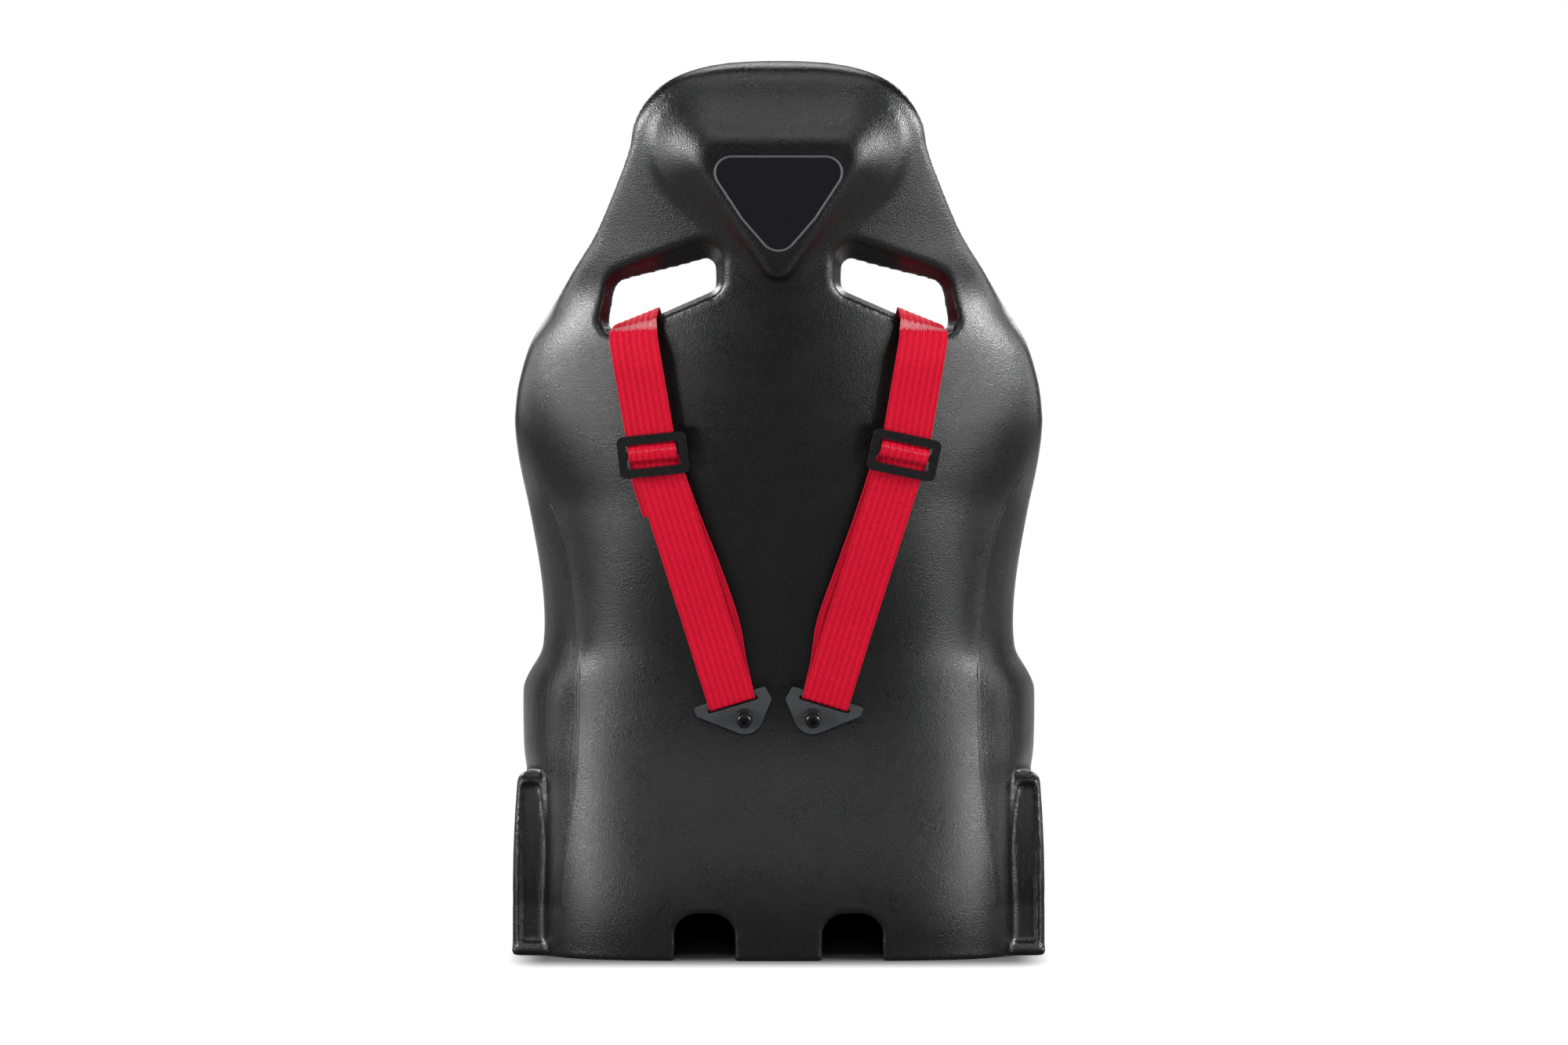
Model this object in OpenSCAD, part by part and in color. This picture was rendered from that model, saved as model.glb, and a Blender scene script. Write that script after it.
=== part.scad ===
// Moulded bucket racing seat with a four-point harness, millimetres.
// +X is the sitter's right, +Y the way the seat faces, +Z up.
// The origin is the centre of the base bolt pattern, on the surface that the seat stands on.

/* [Shell] */
// Height of the moulding
shell_h = 932; // [920:2:950]
// Width across the shoulder wings
shoulder_w = 570; // [558:2:582]
// Height of the widest point of the shoulders
shoulder_h = 572; // [564:2:580]
// Width across the waist
waist_w = 515; // [505:1:525]
// Width across the thigh wings
hip_w = 557; // [550:1:560]
// Width of the head part, where the crown begins
head_w = 302; // [294:2:310]
// Lean of the backrest from upright, in degrees
recline = 17; // [15:0.5:19]
// Distance from the origin forward to the front lip
front_y = 300; // [290:2:312]
// Thickness of the backrest wall
back_t = 42; // [38:1:46]
// Thickness of the shoulder and thigh wings at their edge
wing_t = 28; // [24:1:32]
// Thickness of the skirt round the hollow base
skirt_t = 26; // [22:1:30]

/* [Side pods] */
// Width across the side pods
pod_w = 564; // [560:1:572]
// Height of the pods at the rear
pod_h = 195; // [185:1:205]
// Corner radius of the pods
pod_r = 13; // [10:1:15]

/* [Slots and arches] */
// Radius of the harness slot's corners
slot_r = 10; // [8:0.5:12]
// How far the slot's mouth flares out at the back
slot_flare = 12; // [9:1:14]
// Width of the two arches in the rear skirt
arch_w = 64; // [56:1:70]
// Height of the arches
arch_h = 50; // [42:1:56]
// Distance between the arches' centre lines
arch_gap = 156; // [146:2:166]

/* [Badge] */
// Width of the badge plate
badge_w = 131; // [126:1:134]
// Thickness of the badge plate
badge_t = 3; // [2:0.5:4]
// Height of the raised shield that carries the badge
boss_t = 18; // [14:1:20]

/* [Harness] */
// Width of the webbing
web_w = 50; // [46:1:51]
// Thickness of the webbing
web_t = 1.6; // [1.2:0.1:1.8]
// Distance between the two rear anchor bolts
anchor_gap = 72; // [70:1:82]
// Height of the rear anchor bolts
anchor_h = 262; // [256:1:268]
// Height of the slide adjusters
adjuster_h = 533; // [515:1:550]
// Distance between the slide adjusters' centres
adjuster_gap = 260; // [250:2:270]
// Turn of the left adjuster in its own plane, in degrees
adjuster_turn_left = 6; // [3:1:9]
// Turn of the right adjuster in its own plane, in degrees
adjuster_turn_right = 12; // [8:1:14]
// Thickness of the steel plates and tongues
plate_t = 3; // [2.5:0.1:3.2]
// Radius of the anchor bolt's shank
bolt_r = 5; // [4.5:0.1:5.2]
// Length of the spacer between shell and rear anchor plate
standoff = 12; // [10:1:15]

/* [Buckle] */
// Radius of the cam-lock buckle
buckle_r = 27; // [25:0.5:30]
// Height of the buckle's housing
buckle_h = 16; // [14:0.5:18]

/* [Mounting] */
// Distance between the base bolts, side to side
base_bolt_x = 300; // [290:2:310]
// Distance between the base bolts, front to back
base_bolt_y = 340; // [330:2:350]
// Distance between the two side bolts
side_bolt_y = 290; // [280:2:300]
// Height of the side bolts
side_bolt_h = 60; // [52:1:70]
// Radius of the M8 thread's wall in the inserts
thread_r = 3.4; // [3.2:0.1:3.6]

/* [Pads] */
// Thickness of the seat pad
seat_pad_t = 52; // [46:1:58]
// Thickness of the back pad
back_pad_t = 36; // [32:1:40]
// Width of the seat pad at the front
seat_pad_w = 348; // [336:2:352]
// Width of the back pad at the waist
back_pad_w = 300; // [290:2:310]
// Thickness of the head pad
head_pad_t = 30; // [26:1:34]
// Width of the head pad at its lower end
head_pad_w = 200; // [190:2:206]

/* [Hidden] */

$fn = 48;
gap = 0.3;             // clearance between pieces that only lie together
fit = 0.06;            // radial clearance of a turning fit
pad_gap = 3.2;         // room for the hook strips behind a pad
left = -1;
right = 1;

// ---------- curves shared by everything that touches the shell ----------

crease_h = 285;                    // height of the crease where the back leaves the base
lumbar_y = -205;                   // the shell's rear face at the crease
skirt_lean = 7;                    // the skirt runs out to the rear below the crease
pod_rear_y = -172;
hip_h = 281;                       // top of the thigh wings
waist_h = hip_h + 64;
head_h = shell_h - 81;             // the crown begins here
slot_top = head_h - 127;           // upper end of the harness slots
pod_out = 6.5;                     // how far the pods stand out from the foot of the base
crown_roll = 60;                   // height over which the crown rolls forward
crown_depth = 30;

function clamp01(t) = max(0, min(1, t));
function smooth(t) = let (u = clamp01(t)) u * u * (3 - 2 * u);
function mix(a, b, t) = a + (b - a) * t;
function ramp(t, b) = t < -b ? 0 : t > b ? t : (t + b) * (t + b) / (4 * b);

// Smooth curve through the rows [position, value] of a table
function rise(t, i) = let (a = max(0, i - 1), b = min(len(t) - 1, i + 1))
    (t[b][1] - t[a][1]) / (t[b][0] - t[a][0]);
function seek(t, z, i = 0) = i >= len(t) - 2 || z < t[i + 1][0] ? i : seek(t, z, i + 1);
function along(t, z) = let (
        i = seek(t, z), h = t[i + 1][0] - t[i][0], u = clamp01((z - t[i][0]) / h)
    )
    t[i][1] * (1 + 2 * u) * (1 - u) * (1 - u) + rise(t, i) * h * u * (1 - u) * (1 - u)
    + t[i + 1][1] * u * u * (3 - 2 * u) + rise(t, i + 1) * h * u * u * (u - 1);

// Share of the way from shoulder width (1) to head width (0), by share of the height between them
flank = [
    [0, 1], [.14, .96], [.29, .865], [.42, .685], [.56, .48], [.68, .29], [.81, .15], [.93, .045], [1, 0]
];

function half_w(z) =
    z < pod_h ? pod_w / 2 - pod_out + 2 * z / pod_h
    : z < hip_h ? mix(pod_w / 2 - pod_out + 2, hip_w / 2, smooth((z - pod_h) / (hip_h - pod_h)))
    : z < waist_h ? mix(hip_w / 2, waist_w / 2, smooth((z - hip_h) / 46))
    : z < shoulder_h ? mix(waist_w / 2, shoulder_w / 2, smooth((z - waist_h) / (shoulder_h - waist_h)))
    : z < head_h ? mix(head_w / 2, shoulder_w / 2, along(flank, (z - shoulder_h) / (head_h - shoulder_h)))
    : head_w / 2 * pow(max(0, 1 - pow((z - head_h) / (shell_h - head_h), 2)), 0.385);

// Rear face on the centre line, before and after the roll of the crown and the curl of the skirt
function lean_y(z) = lumbar_y - tan(recline) * ramp(z - crease_h, 90)
    - tan(skirt_lean) * ramp(crease_h - z, 60);
function rear_y(z) = lean_y(z)
    + crown_depth * (1 - sqrt(max(0, 1 - pow(clamp01((z - shell_h + crown_roll) / crown_roll), 2))))
    + 16 * pow(clamp01(1 - z / 110), 2);

// Height at a share of the way from the shoulders to the crown
function up(t) = mix(shoulder_h, head_h, t);
// Edge of the wings and of the base in side view: [height, y]
wing_edge = concat(
    [[0, front_y - 8], [60, front_y], [150, front_y], [200, front_y - 8], [hip_h - 51, front_y - 26]],
    [for (p = [[-31, .75], [-17, .525], [-5, .307], [5, .112]])
        [hip_h + p[0], mix(-20, front_y - 8, p[1])]],
    [for (p = [
        [hip_h + 19, 190], [hip_h + 44, 176], [400, 174], [500, 180.7], [shoulder_h - 2, 180.1],
        [up(.208), 160.5],
        [up(.423), 122.8], [up(.602), 86.1], [up(.781), 59.4], [head_h, 40], [head_h + 49, 41], [shell_h, 43]
    ]) [p[0], lean_y(p[0]) + p[1]]]
);
function edge_y(z) = along(wing_edge, z);

// How the rear face turns into the flanks: [height, share of the width that stays flat, flare, depth]
turn_flat = [
    [0, .84], [250, .80], [350, .78], [430, .68], [500, .58], [up(.1), .47], [up(.46), .45], [head_h, .45],
    [shell_h, .4]
];
turn_flare = [
    [0, 14], [250, 30], [350, 34], [500, 28], [up(.1), 22], [up(.46), 20], [head_h, 10], [shell_h, 6]
];
turn_depth = [
    [0, 14], [250, 12], [350, 12], [500, 26], [up(.1), 32], [up(.46), 28], [head_h, 14], [shell_h, 8]
];
function side_start(z) = min(edge_y(z) - 14, rear_y(z) + mix(170, 210, smooth((z - 200) / 150)));

function bezier(a, b, c, d, t) =
    a * pow(1 - t, 3) + b * 3 * t * pow(1 - t, 2) + c * 3 * t * t * (1 - t) + d * pow(t, 3);
function outer_turn(z, t) = let (w = half_w(z), y = rear_y(z))
    bezier(
        [0, y], [w * along(turn_flat, z), y],
        [w - along(turn_flare, z) * min(1, w / 100), y + min(along(turn_depth, z), (side_start(z) - y) / 2)],
        [w, side_start(z)], t
    );
// y of the rear face at x and z, by halving t
function turn_t(z, x, lo = 0, hi = 1, n = 14) =
    n == 0 ? (lo + hi) / 2
    : outer_turn(z, (lo + hi) / 2)[0] < x ? turn_t(z, x, (lo + hi) / 2, hi, n - 1)
    : turn_t(z, x, lo, (lo + hi) / 2, n - 1);
function back_y(x, z) = outer_turn(z, turn_t(z, abs(x)))[1];

// Inner face: distance of the wing's inner side from the outer one, and the backrest's thickness
inner_step = [
    [90, -88], [150, -70], [200, -56], [hip_h, -wing_t - 8], [waist_h, -wing_t], [shoulder_h, -wing_t],
    [up(.32), -wing_t + 3], [up(.6), -14], [up(.82), 2], [head_h, 16], [shell_h + 60, 30]
];
inner_t = [
    [0, back_t + 6], [250, back_t + 4], [420, back_t], [up(.1), back_t - 5], [up(.64), back_t],
    [head_h, back_t + 4],
    [shell_h + 60, back_t + 4]
];
inner_flat = [[0, .74], [300, .74], [450, .62], [up(.1), .52], [up(.64), .5], [shell_h + 60, .5]];
function inner_w(z) = half_w(min(z, shell_h - 14)) + along(inner_step, z);
function front_of_back(z) = lean_y(z) + along(inner_t, z);
function inner_turn(z, t) = let (w = inner_w(z), y = front_of_back(z))
    bezier([0, y], [w * along(inner_flat, z), y], [w - 16, y + 24], [w, max(edge_y(z) - 12, y + 40)], t);
function inner_turn_t(z, x, lo = 0, hi = 1, n = 14) =
    n == 0 ? (lo + hi) / 2
    : inner_turn(z, (lo + hi) / 2)[0] < x ? inner_turn_t(z, x, (lo + hi) / 2, hi, n - 1)
    : inner_turn_t(z, x, lo, (lo + hi) / 2, n - 1);
function inner_y(x, z) = inner_turn(z, inner_turn_t(z, abs(x)))[1];

// Pan of the seat: [y, height]
pan = [
    [-200, 128], [-150, 110], [-80, 104], [20, 104], [120, 115], [210, 134], [front_y - 20, 156],
    [front_y + 40, 172]
];
function pan_h(y) = along(pan, y);

// ---------- shell ----------

function mirrored(half) = concat(half, [for (i = [len(half) - 1:-1:0]) [-half[i][0], half[i][1]]]);
function at_height(section, z) = [for (p = section) [p[0], p[1], z]];

// A closed solid through sections of the same number of points, from bottom to top.
// A band's two faces are parted along the same diagonals, so that it keeps its thickness where it twists.
module loft(sections, band = false) {
    n = len(sections[0]);
    m = len(sections);
    polyhedron(
        points = [for (s = sections) each s],
        faces = concat(
            [[for (i = [0:n - 1]) i]],
            [for (k = [0:m - 2], i = [0:n - 1]) each let (
                    a = k * n + i, b = k * n + (i + 1) % n, c = a + n, d = b + n
                )
                band && i == 2 ? [[a, c, d], [a, d, b]] : [[a, c, b], [b, c, d]]],
            [[for (i = [n - 1:-1:0]) (m - 1) * n + i]]
        )
    );
}

turn_steps = 12;
shell_levels = concat(
    [0, 8, 20, 40, 70, 110, 160, 205], [for (d = [-46, -31, -19, -8, 1, 11, 23, 37, 54]) hip_h + d],
    [for (z = [hip_h + 79:30:shell_h - 92]) z], [for (d = [72, 54, 39, 27, 18, 11, 6, 3, 1, 0]) shell_h - d]
);

function outer_section(z) = let (
        w = half_w(z), s = side_start(z), f = edge_y(z), r = min(14, w / 3),
        corner = z < hip_h ? mix(70, r, smooth((z - 150) / 110)) : r, c = max(s + 1, f - corner)
    )
    mirrored(concat(
        [for (i = [0:turn_steps]) outer_turn(z, i / turn_steps)],
        [[w, c]], [for (a = [22.5:22.5:90]) [w - corner * (1 - cos(a)), c + (f - c) * sin(a)]]
    ));

module outer_body() {
    loft([for (z = shell_levels) at_height(outer_section(min(z, shell_h - 0.4)), z)]);
}

far_y = front_y + 200;
through = shoulder_w;              // length of a cut that passes right through, each way
cavity_levels = concat(
    [for (z = [86:19:hip_h - 5]) z], [hip_h + 7, hip_h + 23, hip_h + 39, waist_h],
    [for (z = [waist_h + 30:35:shell_h - 102]) z], [for (d = [-72, -42, -10, 40]) shell_h + d]
);
module sitter_space() {
    intersection() {
        loft([for (z = cavity_levels) at_height(
            mirrored(concat(
                [for (i = [0:turn_steps]) inner_turn(z, i / turn_steps)],
                [[inner_w(z) + 6, far_y]]
            )), z)]);
        // everything above the pan
        rotate([90, 0, 90]) translate([0, 0, -through]) linear_extrude(2 * through)
            polygon(concat(
                [for (y = [-200:30:front_y + 30]) [y, pan_h(y)]],
                [[far_y + 10, pan_h(front_y + 40)], [far_y + 10, shell_h + 100]],
                [[-through, shell_h + 100], [-through, 500]]
            ));
    }
}

rail_w = 56;      // the two ribs under the pan that take the base bolts
pan_t = 24;
pod_in = pod_w / 2 - 66;           // inner side of the pods
hollow_x = pod_in + 20.5;
hollow_r = 75;    // the hollow's rear corners
module base_hollow() {
    difference() {
        intersection() {
            translate([0, 0, -1]) linear_extrude(200) hull() for (x = [left, right]) {
                translate([x * (hollow_x - hollow_r), lumbar_y + 2 + skirt_t + hollow_r]) circle(hollow_r);
                translate([x * (hollow_x - 20), front_y - 22 - skirt_t]) circle(20, $fn = 32);
            }
            rotate([90, 0, 90]) translate([0, 0, -through]) linear_extrude(2 * through)
                polygon(concat(
                    [[-260, -1]], [for (y = [-200:50:front_y]) [y, pan_h(y) - pan_t]], [[front_y, -1]]
                ));
        }
        for (side = [left, right])
            translate([side * base_bolt_x / 2 - rail_w / 2, -through, -2]) cube([rail_w, 2 * through, 300]);
    }
}
module square_between(x0, y0, x1, y1) {
    translate([x0, y0]) square([x1 - x0, y1 - y0]);
}

// Shape in the x-z plane, cut or raised along y
module along_y(y0, y1) {
    translate([0, y1, 0]) rotate([90, 0, 0]) linear_extrude(y1 - y0) children();
}

// Harness slot: corners as [x, z, radius] on the right-hand side
slot_corners = [
    [75, slot_top, slot_r], [75, slot_top - 14, slot_r],
    [169, slot_top - 55, slot_r * 0.6], [156, slot_top - 29, slot_r * 0.8]
];
slot_edge_x = 146;              // the webbing crosses the slot's lower edge here
slot_low = slot_corners[2];
slot_slope = atan2(slot_corners[1][1] - slot_low[1] - slot_low[2] * 0.6, slot_low[0] - slot_corners[1][0]);
slot_edge_z = slot_low[1] + (slot_low[0] - slot_edge_x) * tan(slot_slope) - slot_low[2] / cos(slot_slope);
module slot_outline(grow) {
    hull() for (c = slot_corners) translate([c[0], c[1]]) circle(c[2] + grow, $fn = 24);
}
module harness_slot() {
    along_y(-through, 0) slot_outline(0);
    // the mouth narrows from the rear face inward
    rear = back_y(115, slot_edge_z + 20);
    hull() {
        along_y(rear - 40, rear - 39) slot_outline(slot_flare * 2);
        along_y(rear + 33, rear + 34) slot_outline(0);
    }
}

module arch() {
    along_y(-300, lumbar_y + 60) hull() {
        square_between(-arch_w / 2, -1, arch_w / 2, 1);
        for (x = [left, right]) translate([x * (arch_w / 2 - 24), arch_h - 24]) circle(24, $fn = 32);
    }
}

// Shield of the badge: a flat top, bowed sides and a round tip, the origin midway up
shield_h = badge_w * 0.78;
module shield(grow) {
    k = badge_w / 131;
    translate([0, shield_h / 2]) hull() {
        for (x = [left, right]) {
            translate([x * 47.5 * k, -20 * k]) circle(18 * k + grow, $fn = 32);
            translate([x * 14 * k, -50 * k]) circle(30 * k + grow, $fn = 40);
        }
        translate([0, -82 * k]) circle(20 * k + grow, $fn = 32);
    }
}
badge_h = head_h - 60;          // height of the badge's centre
boss_lean = recline;
badge_y = back_y(0, badge_h);
// Frame on the leaning back: x right, y up the back, z out of it
module on_back(x, y, z) {
    translate([x, y, z]) rotate([90 + boss_lean, 0, 0]) children();
}
module badge_boss() {
    on_back(0, badge_y, badge_h) hull() {
        translate([0, 8, -20]) linear_extrude(1) shield(42);
        translate([0, 6, -2]) linear_extrude(1) shield(33);
        translate([0, 1, boss_t - 5]) linear_extrude(1) shield(18);
        linear_extrude(boss_t) shield(12);
    }
}
module badge_recess() {
    on_back(0, badge_y, badge_h) {
        translate([0, 0, boss_t - badge_t - gap]) linear_extrude(20) shield(gap);
        for (x = [left, right]) translate([x * badge_pin_x, 4, boss_t - badge_t - badge_pin_l - gap])
            cylinder(r = badge_pin_r + gap, h = 30);
    }
}
badge_pin_x = 34;
badge_pin_r = 3;
badge_pin_l = 9;

// Side pod: a round-edged slab that runs along the base, from rear to front
module pod(side) {
    low = 8;
    top_x = pod_w / 2 - pod_r - 5;
    hull() {
        for (p = [
            [pod_w / 2 - low, pod_rear_y + low, low], [pod_in + low, pod_rear_y + low + 6, low],
            [pod_w / 2 - low, front_y - 80, low], [pod_in + low, front_y - 60, low]
        ]) translate([side * p[0], p[1], p[2]]) sphere(low, $fn = 16);
        for (p = [
            [pod_w / 2 - pod_r, pod_rear_y + pod_r, 110], [pod_w / 2 - pod_r, front_y - 85, 100],
            [top_x, pod_rear_y + pod_r + 20, pod_h - pod_r],
            [top_x - 8, pod_rear_y + pod_r + 22, pod_h - pod_r],
            [top_x, 60, pod_h - pod_r - 8], [top_x, front_y - 95, 128]
        ]) translate([side * p[0], p[1], p[2]]) sphere(pod_r, $fn = 20);
    }
}

insert_r = 9;
insert_l = 24;
flange_r = 13;
flange_t = 2;
// An insert's hole: its barrel and its flange, opening along +z at z = 0
module insert_hole() {
    translate([0, 0, -insert_l - gap]) cylinder(r = insert_r + gap, h = insert_l + 1, $fn = 24);
    translate([0, 0, -flange_t - gap]) cylinder(r = flange_r + gap, h = flange_t + 20, $fn = 24);
}
module insert(bore) {
    difference() {
        union() {
            translate([0, 0, -insert_l]) cylinder(r = insert_r, h = insert_l - 0.5);
            translate([0, 0, -flange_t]) cylinder(r = flange_r, h = flange_t);
        }
        translate([0, 0, -insert_l - 1]) cylinder(r = bore, h = insert_l + 2);
    }
}

// ---------- frames of the fastenings ----------

module at_base_bolts() {
    for (x = [left, right], y = [-1, 1])
        translate([x * base_bolt_x / 2, y * base_bolt_y / 2, 0]) rotate([180, 0, 0]) children();
}
module at_side_bolts() {
    for (side = [left, right], y = [-1, 1])
        translate([side * (pod_w / 2 - 1), y * side_bolt_y / 2, side_bolt_h])
            rotate([0, side * 90, 0]) children();
}

// Rear anchors: plates, adjusters and the webbing between them share one leaning plane
anchor_x = anchor_gap / 2;
anchor_y = back_y(anchor_x, anchor_h);
slot_y = back_y(slot_edge_x - web_w / 2, slot_edge_z);   // rear face below the slot
rear_lift = 7;                                   // webbing's distance behind the slot's edge
plate_mid = standoff + gap + plate_t / 2;        // plate's middle above the shell
strap_lean = atan2(anchor_y - plate_mid - slot_y + rear_lift, slot_edge_z - 20 - anchor_h);
plate_turn = 17.5;                               // turn of the plates towards the adjusters
slot_in_plate = [8, 15.5];                       // the plate's webbing slot, from its bolt

module at_anchor(side) {
    translate([side * anchor_x, anchor_y, anchor_h]) rotate([90 + strap_lean, 0, 0]) children();
}
// u runs away from the other plate, v up the back, w out of it
function from_anchor(side, u, v, w, turn = 0) = let (
        a = -side * turn, x = side * u * cos(a) - v * sin(a), y = side * u * sin(a) + v * cos(a)
    )
    [side * anchor_x + x, anchor_y - y * sin(strap_lean) - w * cos(strap_lean),
        anchor_h + y * cos(strap_lean) - w * sin(strap_lean)];
function up_strap(z) = (z - anchor_h + plate_mid * sin(strap_lean)) / cos(strap_lean);

// Lap anchors, in a hollow of each inner side wall
lap_y = -20;
lap_h = pan_h(lap_y) + 82;
lap_face_x = inner_w(lap_h) - 26;
lap_hollow_r = 56;
lap_plate_up = 17;              // the plate's webbing slot, above its bolt
lap_bolt_r = 5;
module at_lap(side) {
    translate([side * lap_face_x, lap_y, lap_h]) rotate([0, -side * 90, 0]) children();
}

// Buckle: it lies on the seat pad, its shoulder side towards the back
buckle_tilt = 15;
buckle_y = -30;
buckle_z = pan_h(0) + pad_gap + seat_pad_t + buckle_r * sin(buckle_tilt) + 11;
module at_buckle() {
    translate([0, buckle_y, buckle_z]) rotate([-buckle_tilt, 0, 0]) children();
}
function from_buckle(p) = [p[0], buckle_y + p[1] * cos(buckle_tilt) + p[2] * sin(buckle_tilt),
    buckle_z - p[1] * sin(buckle_tilt) + p[2] * cos(buckle_tilt)];
function shoulder_way(side) = [side * sin(34), -cos(34), 0];
function lap_way(side) = [side * cos(14), sin(14), 0];
// Direction of a tongue's webbing slot, square to its way out
function slot_way(side, way) = let (e = side * [-way[1], way[0]])
    [e[0], e[1] * cos(buckle_tilt), -e[1] * sin(buckle_tilt)];
tongue_slot = 33 + buckle_r;    // distance of a tongue's webbing slot from the buckle's centre

// ---------- shell ----------

module seat_shell() {
    color([0.07, 0.07, 0.075]) difference() {
        union() {
            difference() {
                union() {
                    outer_body();
                    badge_boss();
                }
                sitter_space();
                base_hollow();
            }
            pod(left);
            pod(right);
        }
        badge_recess();
        for (side = [left, right]) {
            mirror([side == left ? 1 : 0, 0, 0]) harness_slot();
            translate([side * arch_gap / 2, 0, 0]) arch();
            at_lap(side) cylinder(r1 = lap_hollow_r - 8, r2 = lap_hollow_r, h = 60, $fn = 32);
            at_lap(side) insert_hole();
            at_anchor(side) translate([0, 0, anchor_sink]) insert_hole();
        }
        at_base_bolts() insert_hole();
        at_side_bolts() insert_hole();
    }
}

module badge_plate() {
    color([0.12, 0.12, 0.125]) on_back(0, badge_y, badge_h) translate([0, 0, boss_t - badge_t]) {
        difference() {
            linear_extrude(badge_t + 0.9) shield(0);
            translate([0, 0, badge_t]) linear_extrude(2) shield(-1.6);
        }
        for (x = [left, right]) translate([x * badge_pin_x, 4, -badge_pin_l])
            cylinder(r = badge_pin_r, h = badge_pin_l + 1);
    }
}

// ---------- pads ----------

function inner_x_t(z, y, lo = 0, hi = 1, n = 14) =
    n == 0 ? (lo + hi) / 2
    : inner_turn(z, (lo + hi) / 2)[1] < y ? inner_x_t(z, y, (lo + hi) / 2, hi, n - 1)
    : inner_x_t(z, y, lo, (lo + hi) / 2, n - 1);
function inner_x(y, z) = inner_turn(z, inner_x_t(z, y))[0];
// Share of a pad's thickness left at s from its middle (0) to its rim (1)
function crown(s) = 0.3 + 0.7 * pow(max(0, 1 - pow(abs(s), 3.2)), 0.55);
// How much a sewn channel at c draws the pad in
function channel(y, c) = exp(-pow((y - c) / 7, 2));

seat_rear = -148;
seat_front = front_y - 34;
seat_channels = [for (q = [.26, .5, .74]) mix(seat_rear, seat_front, q)];
function share(p, low, high) = (2 * p - low - high) / (high - low);
function channels(p, at) = channel(p, at[0]) + channel(p, at[1]) + channel(p, at[2]);
function seat_t(s, y) = seat_pad_t * crown(s) * crown(share(y, seat_rear, seat_front))
    - 5 * channels(y, seat_channels) * (1 - pow(s, 6));
function seat_half(y) = let (e = abs(share(y, seat_rear, seat_front)))
    min(seat_pad_w / 2, inner_x(y, pan_h(y) + 8) - 9) * pow(1 - pow(min(e, 0.998), 9), 0.35);
seat_steps = concat(
    [seat_rear, seat_rear + 2, seat_rear + 6, seat_rear + 14, seat_rear + 28, seat_rear + 50],
    [for (c = seat_channels) each [c - 28, c - 14, c - 7, c, c + 7, c + 14, c + 28]],
    [seat_front - 50, seat_front - 28, seat_front - 14, seat_front - 6, seat_front - 2, seat_front]
);
module seat_pad() {
    color([0.1, 0.1, 0.1]) loft([for (y = seat_steps) let (w = seat_half(y), z = pan_h(y) + pad_gap)
        [for (p = mirrored(concat(
            [for (s = [0, .25, .5, .7, .84, .93, .98, 1]) [w * s, z + seat_t(s, y)]],
            [for (s = [1, .7, .35, 0]) [w * s, z]]
        ))) [p[0], y, p[1]]]]);
}

back_low = 178;
back_high = slot_top - 84;
back_channels = [for (q = [.33, .545, .76]) mix(back_low, back_high, q)];
function back_half(z) = let (e = abs(share(z, back_low, back_high)))
    min(back_pad_w / 2, inner_x(front_of_back(z) + 26, z)) * pow(1 - pow(min(e, 0.998), 8), 0.4)
    * mix(1, .84, smooth((z - 420) / 220));
function back_full(s, z) = back_pad_t * crown(s) * crown(share(z, back_low, back_high));
function back_pad_thick(s, z) = back_full(s, z) - 4 * channels(z, back_channels) * (1 - pow(s, 6));
back_steps = concat(
    [back_low, back_low + 2, back_low + 6, back_low + 14, back_low + 30, back_low + 56, back_low + 90],
    [for (c = back_channels) each [c - 28, c - 14, c - 7, c, c + 7, c + 14, c + 28]],
    [back_high - 56, back_high - 30, back_high - 14, back_high - 6, back_high - 2, back_high]
);
function on_front(x, z, d) = [x, inner_y(x, z) + d, z];
module front_pad(steps, half, thick) {
    loft([for (i = [0:len(steps) - 1]) mirrored3(concat(
        [for (s = [0, .35, .7, 1]) on_front(half[i] * s, steps[i], pad_gap)],
        [for (k = [0:len(rim_steps) - 1])
            on_front(half[i] * rim_steps[k], steps[i], pad_gap + thick[i][k])]
    ))]);
}
function mirrored3(half) = concat(
    half, [for (i = [len(half) - 1:-1:0]) [-half[i][0], half[i][1], half[i][2]]]
);
rim_steps = [1, .98, .93, .84, .7, .5, .25, 0];
module back_pad() {
    color([0.1, 0.1, 0.1]) front_pad(
        back_steps, [for (z = back_steps) back_half(z)],
        [for (z = back_steps) [for (s = rim_steps) back_pad_thick(s, z)]]
    );
}

head_low = head_h - 95;
head_high = head_h + 31;
function head_share(z) = share(z, head_low, head_high);
function head_half(z) = head_pad_w * mix(.5, .42, smooth((z - head_low) / (head_high - head_low)))
    * pow(1 - pow(min(abs(head_share(z)), 0.998), 5), 0.4);
head_steps = concat(
    [head_low, head_low + 2, head_low + 6, head_low + 14], [for (z = [head_low + 28:16:head_high - 24]) z],
    [head_high - 14, head_high - 6, head_high - 2, head_high]
);
module head_pad() {
    color([0.1, 0.1, 0.1]) front_pad(
        head_steps, [for (z = head_steps) head_half(z)],
        [for (z = head_steps) [for (s = rim_steps) head_pad_t * crown(s) * crown(head_share(z))]]
    );
}

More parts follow.
